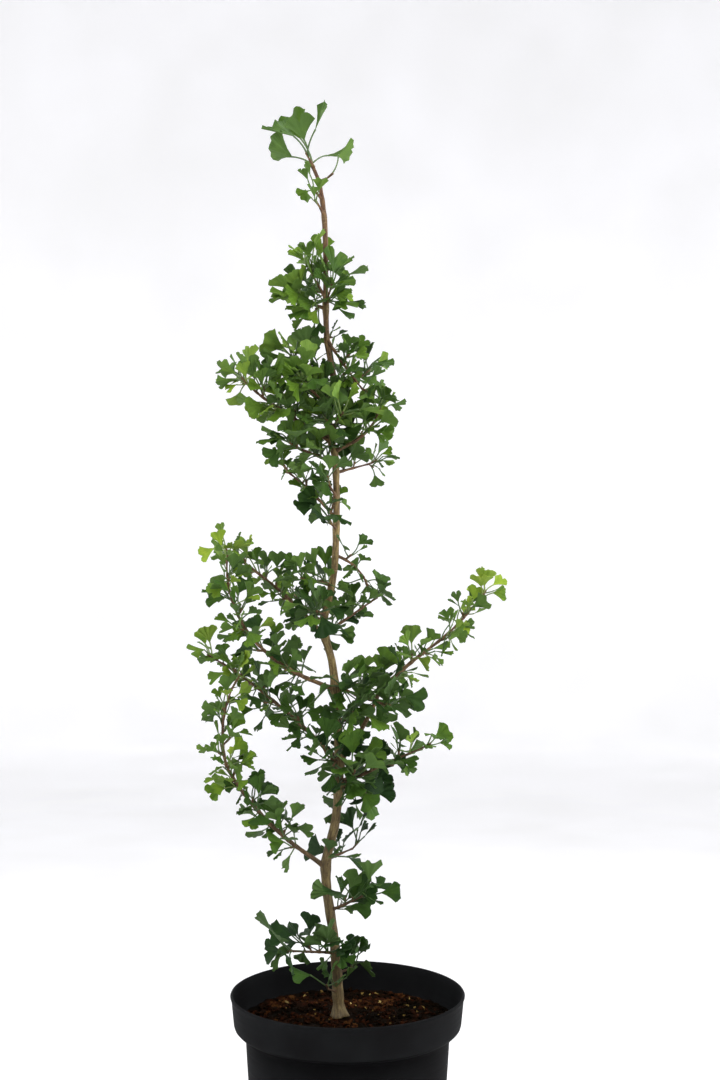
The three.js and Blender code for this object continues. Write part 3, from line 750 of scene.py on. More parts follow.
# How a blade departs from a flat fan: the waves across it in radians, and their height (ripple),
# the bend of its tip and its fold in shares of its length. Its rim has a slit, which is split
# deeper where a draw is above whole, and crinkles: turns, depth and share of the phase. narrow is
# how wide the fan stays at its stalk.
BLADE = dict(
    phase=(0, 6.28), waves=(6.908, 15.072), ripple=(0.025, 0.075), bend=(-0.08, 0.12),
    fold=0.03, slit=(0.07, 0.14), split=0.22, whole=0.6, narrow=0.62, ring_power=0.9,
    crinkles=((8, 0.02, 1), (19, 0.018, 2)),
)  # fmt: skip
STALK = dict(radius=0.85, least=0.65, full_length=70, rings=7, sides=5, into_blade=0.05, bow=0.64)
STALK_TAPER = dict(foot=1.15, fall=0.35, flare_power=8)
# What makes a leaf light, from 0 for dark to 1 for young and yellow, and the most it can come to.
# Leaves at a limb's end are lighter, and now and then one far out is much lighter. The tone also
# holds painted light and shade: leaves near the trunk and low down are darker, and leaves far out
# and high up lighter.
TONE = dict(least=0.07, out=0.42, high=0.42, shade=0.18, spray=0.14, leaf=0.5)
TIP_LEAF = dict(out=0.55, tone=0.08)
ODD_LEAF = dict(out=0.45, rare=0.9, shade=0.3, tone=0.25)
TONE_MOST = dict(crown=0.68, below=0.82)
FULL_OUT = 150  # from the trunk
CROWN = dict(bottom=780, depth=420)
SHADE = dict(top=520, depth=200)
BLADE_LEVELS = dict(low=560, middle=800, high=2000)  # the height where each piece of blades ends


def from_0_to_1(value):
    return min(max(value, 0), 1)


def tone_of(leaf, draw):
    """How light a leaf is: sprays far out, high up or at a limb's end are younger and lighter; the
    darker tone near the trunk and low down is painted shade.
    """
    spur = leaf["spur"]
    height = spur["tip"][2]
    centre, _ = trunk_at(min(max(height, TRUNK[0][0]), TRUNK[-1][0]))
    out = np.linalg.norm(spur["tip"][:2] - centre[:2]) / FULL_OUT
    high = from_0_to_1((height - CROWN["bottom"]) / CROWN["depth"])
    # Painted shade: leaves below the shade's top grow darker downwards.
    shaded = from_0_to_1((SHADE["top"] - height) / SHADE["depth"])
    tone = TONE["least"] + TONE["out"] * out + TONE["high"] * high - TONE["shade"] * shaded
    tone += TONE["spray"] * draws(leaf["mass"]["seed"] + SEEDS["spray"])()
    tone += TONE["leaf"] * (draw() - 0.5)
    if out > TIP_LEAF["out"] and spur["last"]:
        tone += TIP_LEAF["tone"] * draw()
    if out > ODD_LEAF["out"] and high == 0:
        if draw() > ODD_LEAF["rare"] and shaded < ODD_LEAF["shade"]:
            tone += ODD_LEAF["tone"]
    return min(max(tone, 0), TONE_MOST["crown" if high else "below"])


def blade_grid(leaf, draw):
    """Points over a blade from its base outwards, and their places (share, radius)."""
    corner, length = LEAF["corner"], leaf["length"]
    phase, waves, ripple, bend, slit = (
        between(BLADE[key], draw) for key in ("phase", "waves", "ripple", "bend", "slit")
    )
    split = leaf["notch"] - (BLADE["split"] * draw() if draw() > BLADE["whole"] else 0)
    points, places = [leaf["base"]], [(0.0, 0.0)]
    for row in range(1, LEAF_RINGS + 1):
        v = (row / LEAF_RINGS) ** BLADE["ring_power"]
        for column in range(LEAF_COLUMNS + 1):
            u = 2 * column / LEAF_COLUMNS - 1
            edge = corner + (1 - corner) * math.cos((abs(u) - 0.5) * math.pi)
            for turns, deep, part in BLADE["crinkles"]:
                edge += deep * math.sin(turns * u + part * phase)
            edge -= (edge - split) * math.exp(-((u / slit) ** 2))
            reach = v * edge * length * LEAF_FILL
            wide = BLADE["narrow"] + (1 - BLADE["narrow"]) * v
            angle = math.radians(leaf["half_angle"]) * u * wide
            height = leaf["cup"] * u * u + ripple * math.sin(waves * u + phase) - bend
            height = height * v * v + BLADE["fold"] * abs(u) * v
            points.append(fan_point(leaf, angle, reach, height * length))
            places.append((u, v * edge))
    return np.array(points), places


def blade_faces():
    """Faces of one side of a blade, and the points round its rim in order."""
    wide = LEAF_COLUMNS + 1
    faces = [(0, c + 2, c + 1) for c in range(LEAF_COLUMNS)]
    for row in range(LEAF_RINGS - 1):
        a, b = 1 + row * wide, 1 + (row + 1) * wide
        faces += [(a + c, a + c + 1, b + c + 1, b + c) for c in range(LEAF_COLUMNS)]
    rim = [0] + [1 + row * wide for row in range(LEAF_RINGS)]
    rim += [1 + (LEAF_RINGS - 1) * wide + c for c in range(1, LEAF_COLUMNS + 1)]
    rim += [wide + row * wide for row in reversed(range(LEAF_RINGS - 1))]
    return faces, rim


def add_blade(piece, leaf, tone, draw):
    """One closed blade: an upper and a lower sheet joined round the rim."""
    upper, places = blade_grid(leaf, draw)
    faces, rim = blade_faces()
    half = leaf["normal"] * (LEAF_THICKNESS / 2)
    count = len(upper)
    points = np.vstack([upper + half, upper - half])
    under = [tuple(i + count for i in reversed(face)) for face in faces]
    wall = [(a, b, b + count, a + count) for a, b in zip(rim, rim[1:] + rim[:1])]
    uv = [(u * 0.5 + 0.5, v) for u, v in places] * 2
    underside = np.repeat([0, 1], count)
    piece.add(points, faces + under + wall, uv=uv, tone=tone, underside=underside)


def add_stalk(piece, leaf, tone, draw):
    """A leaf's stalk: a thin tube that arches from its spur into the blade's base."""
    start = leaf["root"]
    whole = leaf["base"] + leaf["forward"] * leaf["length"] * STALK["into_blade"] - start
    side, over = across(unit(whole))
    bow = (side * (draw() - 0.5) + over * (draw() - 0.5)) * STALK["bow"] * np.linalg.norm(whole)
    places = np.linspace(0, 1, STALK["rings"])
    centres = [start + whole * t + bow * t * (1 - t) for t in places]
    thick = STALK["radius"] * (STALK["least"] + leaf["length"] / STALK["full_length"])
    fall = STALK_TAPER["fall"] * (places - places ** STALK_TAPER["flare_power"])
    tube(piece, centres, thick * (STALK_TAPER["foot"] - fall), STALK["sides"], tone=tone)


def foliage_pieces(leaves, blade_material, stalk_material):
    """The blades, in pieces from the ground up, and the stalks."""
    blades = {level: Piece() for level in BLADE_LEVELS}
    stalks = Piece()
    for n, leaf in enumerate(leaves):
        draw = draws(SEEDS["look"] + n)
        tone = tone_of(leaf, draw)
        level = next(name for name, top in BLADE_LEVELS.items() if leaf["base"][2] < top)
        add_blade(blades[level], leaf, tone, draw)
        add_stalk(stalks, leaf, tone, draw)
    built = [
        blade.build(f"leaf_blades_{level}", blade_material, sharp=LEAF_SHARP)
        for level, blade in blades.items()
    ]
    return [*built, stalks.build("leaf_stalks", stalk_material)]


# ---------------------------------------------------------------- materials


def linear(code):
    """An sRGB hex colour as linear RGBA."""
    channels = [int(code[i : i + 2], 16) / 255 for i in (1, 3, 5)]
    return (*[c / 12.92 if c <= 0.04045 else ((c + 0.055) / 1.055) ** 2.4 for c in channels], 1)


def add(tree, kind, inputs=None, **settings):
    """Adds a node. inputs gives each socket, by name or number, its value or its link."""
    made = tree.nodes.new(kind)
    for name, value in settings.items():
        setattr(made, name, value)
    for name, value in (inputs or {}).items():
        if isinstance(value, bpy.types.NodeSocket):
            tree.links.new(value, made.inputs[name])
        else:
            made.inputs[name].default_value = value
    return made


def ramp(made, stops):
    """Sets a colour ramp's stops, (place, hex colour), and gives its colour."""
    elements = made.color_ramp.elements
    while len(elements) > 1:
        elements.remove(elements[-1])
    elements[0].position, elements[0].color = stops[0][0], linear(stops[0][1])
    for place, code in stops[1:]:
        elements.new(place).color = linear(code)
    return made.outputs["Color"]


def new_material(name):
    """A material and its node tree, still empty."""
    material = bpy.data.materials.new(name)
    material.use_nodes = True
    material.node_tree.nodes.clear()
    return material, material.node_tree


def finished(material, skin):
    """Gives a material its surface, with the sockets that skin names, and hands it back."""
    shader = add(material.node_tree, "ShaderNodeBsdfPrincipled", skin)
    add(material.node_tree, "ShaderNodeOutputMaterial", {"Surface": shader.outputs[0]})
    return material


def leaf_material():
    """Ginkgo leaf: thin, leathery, hairless, matt with a soft sheen; veins fan from the stalk."""
    material, tree = new_material("ginkgo_leaf")
    tone = add(tree, "ShaderNodeAttribute", attribute_name="tone").outputs["Fac"]
    underside = add(tree, "ShaderNodeAttribute", attribute_name="underside").outputs["Fac"]
    place = add(tree, "ShaderNodeTexCoord").outputs
    # Blotches about 12 mm across shift the tone a little inside one leaf.
    blotch = add(
        tree, "ShaderNodeTexNoise", {"Vector": place["Object"], "Scale": 85.0, "Detail": 2.0}
    ).outputs["Fac"]
    spread = add(tree, "ShaderNodeMath", {0: blotch, 1: 0.34, 2: -0.17}, operation="MULTIPLY_ADD")
    shifted = add(tree, "ShaderNodeMath", {0: tone, 1: spread.outputs[0]}, operation="ADD")
    green = ramp(
        add(tree, "ShaderNodeValToRGB", {"Fac": shifted.outputs[0]}),
        [(0.0, "#18330f"), (0.3, "#375617"), (0.55, "#56761e"), (0.8, "#859f2b"), (1.0, "#bec748")],
    )
    # Veins stand under 1 mm apart on the leaf; they are drawn about 2 mm apart to show.
    fan = {"Vector": place["UV"], "Scale": 7.0, "Distortion": 1.2, "Detail": 1.0}
    veins = add(tree, "ShaderNodeTexWave", fan, bands_direction="X").outputs
    veined = {"Factor": 0.16, 6: green, 7: veins["Color"]}
    streaked = add(tree, "ShaderNodeMix", veined, data_type="RGBA", blend_type="OVERLAY")
    upper = streaked.outputs[2]
    # The underside is paler and greyer.
    paler = {"Factor": 0.28, 6: upper, 7: linear("#6d8a4e")}
    lower = add(tree, "ShaderNodeMix", paler, data_type="RGBA").outputs[2]
    sides = {"Factor": underside, 6: upper, 7: lower}
    both = add(tree, "ShaderNodeMix", sides, data_type="RGBA").outputs[2]
    rough = add(tree, "ShaderNodeMath", {0: blotch, 1: 0.2, 2: 0.5}, operation="MULTIPLY_ADD")
    relief = {"Height": veins["Fac"], "Strength": 0.35, "Distance": 0.0004}
    skin = {
        "Base Color": both,
        "Roughness": rough.outputs[0],
        "Normal": add(tree, "ShaderNodeBump", relief).outputs["Normal"],
        "IOR": 1.42,
        "Specular IOR Level": 0.22,
    }
    return finished(material, skin)


def stalk_material():
    """Leaf stalk: smooth pale green, a little glossy, yellower on young sprays and darker with the
    leaves' painted shade.
    """
    material, tree = new_material("leaf_stalk_green")
    tone = add(tree, "ShaderNodeAttribute", attribute_name="tone").outputs["Fac"]
    place = add(tree, "ShaderNodeTexCoord").outputs["Object"]
    # Specks about 2.5 mm across.
    speck = add(
        tree, "ShaderNodeTexNoise", {"Vector": place, "Scale": 400.0, "Detail": 2.0}
    ).outputs["Fac"]
    shifted = add(tree, "ShaderNodeMath", {0: speck, 1: 0.3, 2: tone}, operation="MULTIPLY_ADD")
    green = ramp(
        add(tree, "ShaderNodeValToRGB", {"Fac": shifted.outputs[0]}),
        [(0.1, "#29411a"), (0.6, "#49642b"), (1.0, "#7f9145")],
    )
    relief = {"Height": speck, "Strength": 0.2, "Distance": 0.0002}
    bump = add(tree, "ShaderNodeBump", relief).outputs["Normal"]
    return finished(material, {"Base Color": green, "Roughness": 0.45, "Normal": bump})


def bark_material():
    """Young ginkgo bark: grey-brown and finely fissured on old wood, darker and smooth on young."""
    material, tree = new_material("ginkgo_bark")
    age = add(tree, "ShaderNodeAttribute", attribute_name="age").outputs["Fac"]
    grain = add(tree, "ShaderNodeAttribute", attribute_name="grain").outputs["Vector"]
    # Fissures about 2 mm wide and 10 mm long.
    long_way = add(
        tree, "ShaderNodeVectorMath", {0: grain, 1: (0.5, 0.5, 0.1)}, operation="MULTIPLY"
    ).outputs[0]
    fissure = add(
        tree, "ShaderNodeTexNoise", {"Vector": long_way, "Scale": 1.0, "Detail": 5.0}
    ).outputs["Fac"]
    # Breathing pores: short pale dashes across the stem, some 4 mm wide.
    cross_way = add(
        tree, "ShaderNodeVectorMath", {0: grain, 1: (0.3, 0.3, 0.9)}, operation="MULTIPLY"
    ).outputs[0]
    pores = add(
        tree, "ShaderNodeTexNoise", {"Vector": cross_way, "Scale": 0.8, "Detail": 1.0}
    ).outputs["Fac"]
    dashes = ramp(
        add(tree, "ShaderNodeValToRGB", {"Fac": pores}), [(0.62, "#000000"), (0.72, "#b0b0b0")]
    )
    old = ramp(
        add(tree, "ShaderNodeValToRGB", {"Fac": fissure}),
        [(0.3, "#43341a"), (0.5, "#6b5932"), (0.66, "#8c7a49"), (0.8, "#ab9962")],
    )
    young = ramp(
        add(tree, "ShaderNodeValToRGB", {"Fac": fissure}),
        [(0.3, "#2b180d"), (0.5, "#50321c"), (0.72, "#765233")],
    )
    # Painted shade: the wood darkens below about half a metre, so the stem's foot and the lowest
    # boughs are darker.
    place = add(tree, "ShaderNodeTexCoord").outputs["Object"]
    level = add(tree, "ShaderNodeSeparateXYZ", {0: place}).outputs["Z"]
    fade = {"Value": level, "From Min": 0.36, "From Max": 0.54, "To Min": 0.52, "To Max": 0.0}
    damp_and_low_shade = add(tree, "ShaderNodeMapRange", fade).outputs[0]
    colour = young
    # The last layer is the painted shade low down, in a dark brown.
    for part, over in ((age, old), (dashes, linear("#9c8860")), (damp_and_low_shade, linear("#33270f"))):
        layer = {"Factor": part, 6: colour, 7: over}
        colour = add(tree, "ShaderNodeMix", layer, data_type="RGBA").outputs[2]
    relief = {"Height": fissure, "Strength": 0.6, "Distance": 0.001}
    bump = add(tree, "ShaderNodeBump", relief).outputs["Normal"]
    return finished(material, {"Base Color": colour, "Roughness": 0.72, "Normal": bump})


def pot_material():
    """Black moulded polypropylene: matt skin, faint scuffs, dust, painted shade under the collar.
    """
    material, tree = new_material("black_polypropylene")
    place = add(tree, "ShaderNodeTexCoord").outputs["Object"]
    # Painted shade: this mask darkens the wall under the collar.
    dusty = add(tree, "ShaderNodeAttribute", attribute_name="dusty").outputs["Fac"]
    # Clouds of dust about 5 cm across.
    cloud = add(tree, "ShaderNodeTexNoise", {"Vector": place, "Scale": 18.0, "Detail": 6.0})
    dust = ramp(
        add(tree, "ShaderNodeValToRGB", {"Fac": cloud.outputs["Fac"]}),
        [(0.35, "#101011"), (0.6, "#151617"), (0.8, "#1b1c1d")],
    )
    # Scuffs run round the pot: a few centimetres long and some two millimetres high.
    flat = add(
        tree, "ShaderNodeVectorMath", {0: place, 1: (14.0, 14.0, 420.0)}, operation="MULTIPLY"
    ).outputs[0]
    scuff = add(
        tree, "ShaderNodeTexNoise", {"Vector": flat, "Scale": 1.0, "Detail": 3.0}
    ).outputs["Fac"]
    scuffed = {"Factor": 0.12, 6: dust, 7: scuff}
    worn = add(tree, "ShaderNodeMix", scuffed, data_type="RGBA", blend_type="OVERLAY")
    # Painted shade: where the mask is low, the colour goes to near-black under the collar.
    collar_shade = {"Factor": dusty, 6: linear("#050506"), 7: worn.outputs[2]}
    collar_shaded = add(tree, "ShaderNodeMix", collar_shade, data_type="RGBA").outputs[2]
    rough = add(tree, "ShaderNodeMath", {0: scuff, 1: 0.25, 2: 0.55}, operation="MULTIPLY_ADD")
    # The mould's spark-eroded grain, drawn 1 mm across so that it shows.
    grit = add(tree, "ShaderNodeTexNoise", {"Vector": place, "Scale": 900.0, "Detail": 2.0})
    relief = {"Height": grit.outputs["Fac"], "Strength": 0.12, "Distance": 0.0003}
    skin = {
        "Base Color": collar_shaded,
        "Roughness": rough.outputs[0],
        "Normal": add(tree, "ShaderNodeBump", relief).outputs["Normal"],
        "IOR": 1.49,
        "Specular IOR Level": 0.03,
    }
    return finished(material, skin)


def soil_material(name, roughness, stops):
    """Moist bark and peat, or pale wood: rough, with grains some millimetres across."""
    material, tree = new_material(name)
    place = add(tree, "ShaderNodeTexCoord").outputs["Object"]
    tone = add(tree, "ShaderNodeAttribute", attribute_name="tone").outputs["Fac"]
    # Crumbs about 4 mm across, and damp patches some 4 cm wide that are darker.
    crumbs = add(
        tree, "ShaderNodeTexNoise", {"Vector": place, "Scale": 260.0, "Detail": 6.0}
    ).outputs["Fac"]
    damp_and_low_shade = add(
        tree, "ShaderNodeTexNoise", {"Vector": place, "Scale": 26.0, "Detail": 1.0}
    ).outputs["Fac"]
    patch = add(tree, "ShaderNodeMath", {0: damp_and_low_shade, 1: 1.2, 2: -0.66}, operation="MULTIPLY_ADD")
    base = add(tree, "ShaderNodeMath", {0: tone, 1: patch.outputs[0]}, operation="ADD").outputs[0]
    mixed = add(tree, "ShaderNodeMath", {0: crumbs, 1: 0.7, 2: base}, operation="MULTIPLY_ADD")
    relief = {"Height": crumbs, "Strength": 0.9, "Distance": 0.002}
    skin = {
        "Base Color": ramp(add(tree, "ShaderNodeValToRGB", {"Fac": mixed.outputs[0]}), stops),
        "Roughness": roughness,
        "Normal": add(tree, "ShaderNodeBump", relief).outputs["Normal"],
        "Specular IOR Level": 0.03,
    }
    return finished(material, skin)


# ---------------------------------------------------------------- pot and growing medium

POT_SIDES = 144
POT_SHARP = 40
# The pot's profile as (radius, height): its floor and outside upwards, and its inside downwards.
POT_OUTSIDE = [
    (0, 1.6), (60, 1.6), (98, 1.6), (99.5, 0), (104.6, 0), (105.9, 0.6), (106.4, 2),
    (107.3, 18), (111.4, 90), (112.8, 114), (113.9, 130), (114.8, 145), (115.6, 158.5),
    (116, 161), (117.6, 163), (121.4, 165),
    (125.4, 167), (127.8, 169.6), (128.9, 173), (129.6, 180), (131.4, 198),
    (132, 202), (132.8, 203.2), (133, 204.5), (132.4, 205.7), (131.2, 206),
]  # fmt: skip
POT_INSIDE = [
    (130, 205.4), (129.4, 204), (128.8, 197), (127.2, 183), (126.4, 175), (125.2, 171.2),
    (122.8, 168.6), (119, 166.4), (115.4, 164.4), (113.5, 162), (112.9, 158.5), (108.6, 90),
    (104.8, 18), (103.6, 5.4), (102, 4), (60, 4), (0, 4),
]  # fmt: skip
# Painted shade under the collar: the wall is darkest from the first height up to the collar and
# lightens below it over the fade. The mask is 1 in the open and on the floor's underside, and more
# on the inside.
PAINTED_SHADE = dict(collar_shade=160, fade=25, collar=169, inside=1.6, floor=60)
DRAIN = dict(holes=6, radius=6, circle=82, depth=12, sides=24)
SOIL_REACH = 124.8  # how far out the growing medium comes, at its surface
SOIL_FALL = 3.0  # from the middle to the wall
SOIL_GRID = dict(sides=120, rings=44, spread=0.85)
SOIL_UNDER = ((112.4, 162.5), (111.6, 150.0), (103.0, 14.0), (101.5, 4.6))
CLODS = dict(width=13, height=2.3, sunk=2.2, middle=0.5, seed=0.4, fractal=(0.7, 2.1, 4))
SOIL_TONE = dict(middle=0.2, open=0.12, play=0.3, patch=30, seed=7, under=0.1)


def pot_piece(material):
    """The pot: a rolled lip, a tall collar with a rounded step, and a tapering body on a foot."""
    # Painted shade: the mask is 0 on the wall just under the collar and rises to 1 lower down.
    dusty = [
        1 - math.exp(-max(PAINTED_SHADE["collar_shade"] - z, 0) / PAINTED_SHADE["fade"])
        if z < PAINTED_SHADE["collar"] and r > PAINTED_SHADE["floor"]
        else 1
        for r, z in POT_OUTSIDE
    ]
    dusty += [PAINTED_SHADE["inside"]] * len(POT_INSIDE)
    wall = Piece()
    lathe(wall, POT_OUTSIDE + POT_INSIDE, POT_SIDES, dusty=dusty)
    pot = wall.build("nursery_pot", material, sharp=POT_SHARP)
    drills = Piece()
    rise = UP * DRAIN["depth"] / 2
    for i in range(DRAIN["holes"]):
        foot = heading(360 * (i + 0.5) / DRAIN["holes"], 0) * DRAIN["circle"]
        tube(drills, [foot - rise, foot + rise], [DRAIN["radius"]] * 2, DRAIN["sides"])
    drill = drills.build("drain_drills", material)
    cut = pot.modifiers.new("drain_holes", "BOOLEAN")
    cut.operation, cut.object = "DIFFERENCE", drill
    mesh = finished_mesh(pot)
    pot.modifiers.clear()
    pot.data = mesh
    bpy.data.objects.remove(drill)
    return pot


def fall_at(radius):
    """How much lower the growing medium lies at a radius than in the middle."""
    return SOIL_FALL * (radius / SOIL_REACH) ** 6


def soil_piece(material):
    """The growing medium: a crumbly surface that falls towards the wall."""
    sides, rings, hue = SOIL_GRID["sides"], SOIL_GRID["rings"], SOIL_TONE
    points, tones = [(0, 0, SOIL_TOP - CLODS["middle"])], [hue["middle"]]
    for row in range(1, rings + 1):
        radius = SOIL_REACH * (row / rings) ** SOIL_GRID["spread"]
        level = SOIL_TOP - CLODS["sunk"] - fall_at(radius)
        for x, y, z in ring(radius, level, sides):
            spot = Vector((x / CLODS["width"], y / CLODS["width"], CLODS["seed"]))
            points.append((x, y, z + CLODS["height"] * noise.fractal(spot, *CLODS["fractal"])))
            spot = Vector((x / hue["patch"], y / hue["patch"], hue["seed"]))
            tones.append(hue["open"] + hue["play"] * noise.noise(spot))
    for radius, z in SOIL_UNDER:
        points += ring(radius, z, sides)
    points.append((0, 0, SOIL_UNDER[-1][1]))
    tones += [hue["under"]] * (len(points) - len(tones))
    last = len(points) - 1
    faces = [(0, 1 + j, 1 + k) for j, k in pairs(sides)]
    for start in range(1, last - sides, sides):
        faces += band(start, start + sides, sides, level=True)
    faces += [(last - sides + j, last, last - sides + k) for j, k in pairs(sides)]
    piece = Piece()
    piece.add(points, faces, tone=tones)
    return piece.build("growing_medium_body", material)


def scatter_tree(material):
    """A node tree that lays small flat chips, turned at random, over a surface."""
    tree = bpy.data.node_groups.new("lay_chips", "GeometryNodeTree")
    for name, way, kind in (
        ("Geometry", "INPUT", "NodeSocketGeometry"),
        ("Chips per square metre", "INPUT", "NodeSocketFloat"),
        ("Chip size", "INPUT", "NodeSocketVector"),
        ("Seed", "INPUT", "NodeSocketInt"),
        ("Geometry", "OUTPUT", "NodeSocketGeometry"),
    ):
        tree.interface.new_socket(name, in_out=way, socket_type=kind)
    given = add(tree, "NodeGroupInput").outputs
    seed = given["Seed"]
    ground = {"Mesh": given[0], "Density": given["Chips per square metre"], "Seed": seed}
    scattered = add(tree, "GeometryNodeDistributePointsOnFaces", ground)
    cuts = {"Size": given["Chip size"], "Vertices X": 3, "Vertices Y": 2, "Vertices Z": 2}
    block = add(tree, "GeometryNodeMeshCube", cuts)
    turns = {0: (-0.5, -0.5, 0.0), 1: (0.5, 0.5, 6.28), "Seed": seed}
    turn = add(tree, "FunctionNodeRandomValue", turns, data_type="FLOAT_VECTOR")
    sizes = {0: (0.4, 0.5, 0.5), 1: (1.5, 1.4, 1.6), "Seed": seed}
    stretch = add(tree, "FunctionNodeRandomValue", sizes, data_type="FLOAT_VECTOR")
    where = {
        "Points": scattered.outputs["Points"],
        "Instance": block.outputs["Mesh"],
        "Rotation": turn.outputs[0],
        "Scale": stretch.outputs[0],
    }
    laid = add(tree, "GeometryNodeInstanceOnPoints", where)
    # Every chip has a tone of its own.
    shades = {2: 0.0, 3: 0.55, "Seed": seed}
    shade = add(tree, "FunctionNodeRandomValue", shades, data_type="FLOAT")
    kept = {"Geometry": laid.outputs[0], "Name": "tone", "Value": shade.outputs[1]}
    toned = add(
        tree, "GeometryNodeStoreNamedAttribute", kept, data_type="FLOAT", domain="INSTANCE"
    )
    whole = add(tree, "GeometryNodeRealizeInstances", {"Geometry": toned.outputs[0]})
    # Noise some 2.4 mm across moves the corners by up to 2 mm, so that no chip is a neat block.
    place = add(tree, "GeometryNodeInputPosition").outputs[0]
    rough = add(tree, "ShaderNodeTexNoise", {"Vector": place, "Scale": 420.0, "Detail": 1.0})
    spread = {0: rough.outputs["Color"], 1: (0.5, 0.5, 0.5)}
    centred = add(tree, "ShaderNodeVectorMath", spread, operation="SUBTRACT").outputs[0]
    shift = add(tree, "ShaderNodeVectorMath", {0: centred, "Scale": 0.004}, operation="SCALE")
    moved = {"Geometry": whole.outputs[0], "Offset": shift.outputs[0]}
    chipped = add(tree, "GeometryNodeSetPosition", moved).outputs[0]
    coat = {"Geometry": chipped, "Material": material}
    finished = add(tree, "GeometryNodeSetMaterial", coat).outputs[0]
    add(tree, "NodeGroupOutput", {0: finished})
    return tree


CHIP_GROUND = dict(sides=48, inner=12, middle=0.6, sunk=1.2)


def chips(name, reach, material, per_square_metre, size, seed):
    """Chips lying on the growing medium, out to a radius, as a plain mesh."""
    sides = CHIP_GROUND["sides"]
    points, faces = [], []
    for radius in (CHIP_GROUND["inner"], reach * CHIP_GROUND["middle"], reach):
        points += ring(radius, SOIL_TOP - CHIP_GROUND["sunk"] - fall_at(radius), sides)
    for start in (0, sides):
        faces += band(start, start + sides, sides, level=True)
    ground = Piece()
    ground.add(points, faces)
    sheet = ground.build(name + "_ground", material)
    modifier = sheet.modifiers.new("chips", "NODES")
    modifier.node_group = scatter_tree(material)
    values = {
        "Chips per square metre": float(per_square_metre),
        "Chip size": tuple(s * MM for s in size),
        "Seed": seed,
    }
    for item in modifier.node_group.interface.items_tree:
        if item.in_out == "INPUT" and item.name in values:
            modifier[item.identifier] = values[item.name]
    mesh = finished_mesh(sheet)
    mesh.name = name
    bpy.data.objects.remove(sheet)
    return put(name, mesh)


# ---------------------------------------------------------------- studio

# The tent: its flat floor's radius, with a lip at the edge, the bend's radius and the wall's top.
TENT = dict(floor=3800, lip=200, bend=800, top=5000, steps=12, sides=96)
# Lamps, in metres and watts: name, place, aim, size, power and colour.
LAMPS = [
    ("key_softbox", (1.2, -1.6, 2.2), (0, 0, 0.7), (1.0, 1.0), 35, "#fffaf2"),
    ("left_softbox", (-1.6, 0.1, 1.2), (0, 0, 0.7), (1.2, 1.5), 16, "#fbfcff"),
    ("right_softbox", (1.6, 0.1, 1.2), (0, 0, 0.7), (1.2, 1.5), 20, "#fbfcff"),
    ("top_softbox", (0.0, 0.2, 2.7), (0, 0, 0.6), (1.6, 1.6), 45, "#ffffff"),
]


def paper_material():
    """Studio paper: white and matt, with a painted glow for light from outside, but not close round
    the object.
    """
    material, tree = new_material("studio_paper")
    place = add(tree, "ShaderNodeTexCoord").outputs["Object"]
    fibre = add(tree, "ShaderNodeTexNoise", {"Vector": place, "Scale": 3.0, "Detail": 2.0})
    paper = ramp(
        add(tree, "ShaderNodeValToRGB", {"Fac": fibre.outputs["Fac"]}),
        [(0.3, "#e0e0e1"), (0.7, "#e6e6e8")],
    )
    away = add(tree, "ShaderNodeVectorMath", {0: place}, operation="LENGTH").outputs["Value"]
    # The glow starts 0.7 m from the object's foot and is full at the tent's wall.
    rise = {"Value": away, "From Min": 0.7, "From Max": 3.8, "To Max": 0.45}
    glow = add(tree, "ShaderNodeMapRange", rise)
    skin = {
        "Base Color": paper,
        "Emission Color": paper,
        "Emission Strength": glow.outputs["Result"],
        "Roughness": 0.95,
        "Specular IOR Level": 0.1,
    }
    # The lamps give the light; the weak glow only has to be seen, so no rays are aimed at it.
    material.cycles.emission_sampling = "NONE"
    return finished(material, skin)


def tent_piece(material):
    """A round light tent, so that the object stands before the same pale paper on every side."""
    floor, bend, sides = TENT["floor"], TENT["bend"], TENT["sides"]
    points = ring(floor - TENT["lip"], 0, sides) + ring(floor, 0, sides)
    for i in range(1, TENT["steps"] + 1):
        turn = i / TENT["steps"] * math.pi / 2
        points += ring(floor + bend * math.sin(turn), bend * (1 - math.cos(turn)), sides)
    points += ring(floor + bend, TENT["top"], sides)
    faces = [tuple(range(sides))]
    for start in range(0, len(points) - sides, sides):
        faces += band(start, start + sides, sides, level=True)
    tent = Piece()
    tent.add(points, faces)
    return tent.build("studio_tent", material)


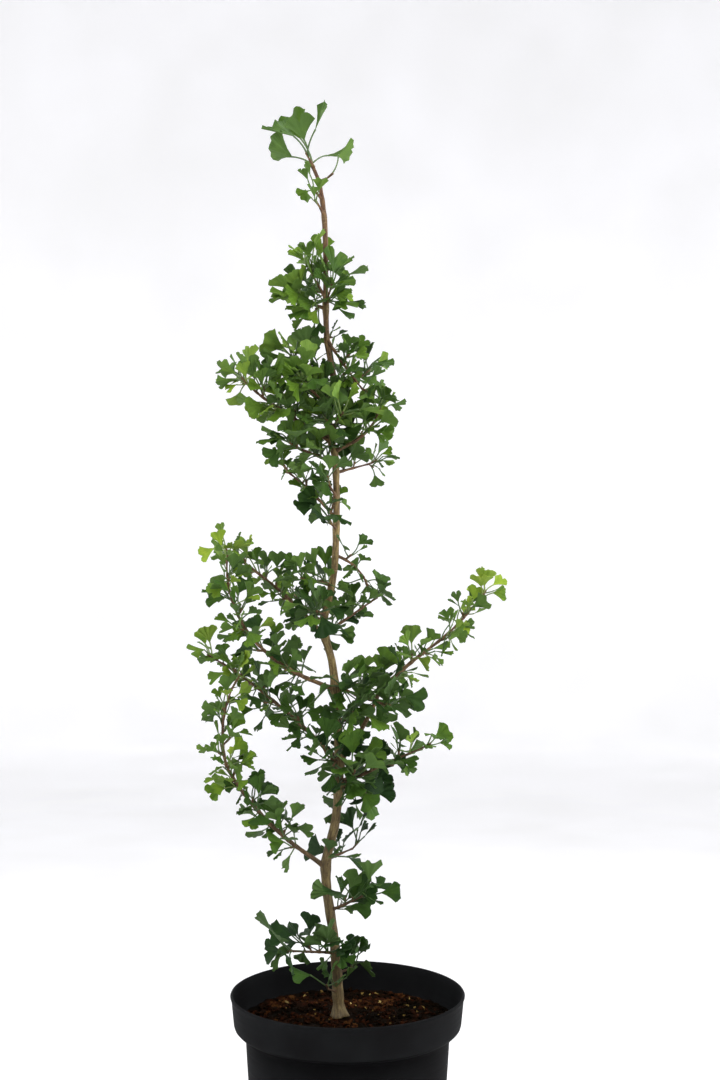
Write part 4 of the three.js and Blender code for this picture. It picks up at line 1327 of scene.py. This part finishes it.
def studio():
    """The light tent, its pale sky and its lamps."""
    tent_piece(paper_material())
    world = bpy.data.worlds.new("studio_world")
    world.use_nodes = True
    sky = world.node_tree.nodes["Background"].inputs
    sky["Color"].default_value = linear("#f6f9ff")
    sky["Strength"].default_value = 0.12
    bpy.context.scene.world = world
    for name, place, aim, size, power, colour in LAMPS:
        light = bpy.data.lights.new(name, "AREA")
        light.shape = "RECTANGLE"
        light.size, light.size_y = size
        light.energy = power
        light.color = linear(colour)[:3]
        lamp = put(name, light)
        lamp.location = place
        lamp.rotation_euler = (Vector(aim) - Vector(place)).to_track_quat("-Z", "Y").to_euler()
    bpy.context.scene.view_settings.view_transform = "Standard"


def camera():
    """A 50 mm lens, level with the middle of the tree and 1.7 m in front of it."""
    data = bpy.data.cameras.new("front_camera")
    data.sensor_fit = "VERTICAL"
    data.sensor_height = 36.0
    data.lens = 50.0
    seen = put("front_camera", data)
    seen.location = (0.014, -1.71, 0.70)
    seen.rotation_euler = (math.radians(90.65), 0, 0)
    bpy.context.scene.camera = seen


# ---------------------------------------------------------------- the dressed tree

PEAT = [(0.25, "#070401"), (0.5, "#140903"), (0.75, "#291106"), (1.0, "#432a13")]
STRAW = [(0.2, "#4a3a1c"), (0.6, "#776336"), (1.0, "#a08a58")]


def dress(piece, slot, *nodes):
    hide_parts(*nodes)
    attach(piece, "root")


boughs, masses = plan_limbs()
leaves = grow_leaves(boughs, masses)
bark = bark_material()
mass_nodes = [mass["name"] for mass in masses]

dress(trunk_piece(bark), "bark", "trunk")
dress(bough_piece(boughs, bark), "bark", *[bough["name"] for bough in boughs])
dress(twig_piece(masses, bark), "foliage", *mass_nodes)
for piece in foliage_pieces(leaves, leaf_material(), stalk_material()):
    dress(piece, "foliage", *mass_nodes)

dress(pot_piece(pot_material()), "moulded_plastic", "pot")
peat = soil_material("bark_and_peat", 0.95, PEAT)
straw = soil_material("pale_wood_slivers", 0.8, STRAW)
dress(soil_piece(peat), "growing_medium", "growing_medium")
# Chips: name, reach, material, number on a square metre, size and seed.
for laid in (
    ("bark_chips", 118, peat, 26000, (5.0, 3.4, 1.6), 5),
    ("wood_slivers", 112, straw, 1500, (6.0, 1.6, 1.2), 12),
):
    dress(chips(*laid), "growing_medium", "growing_medium")

studio()
camera()
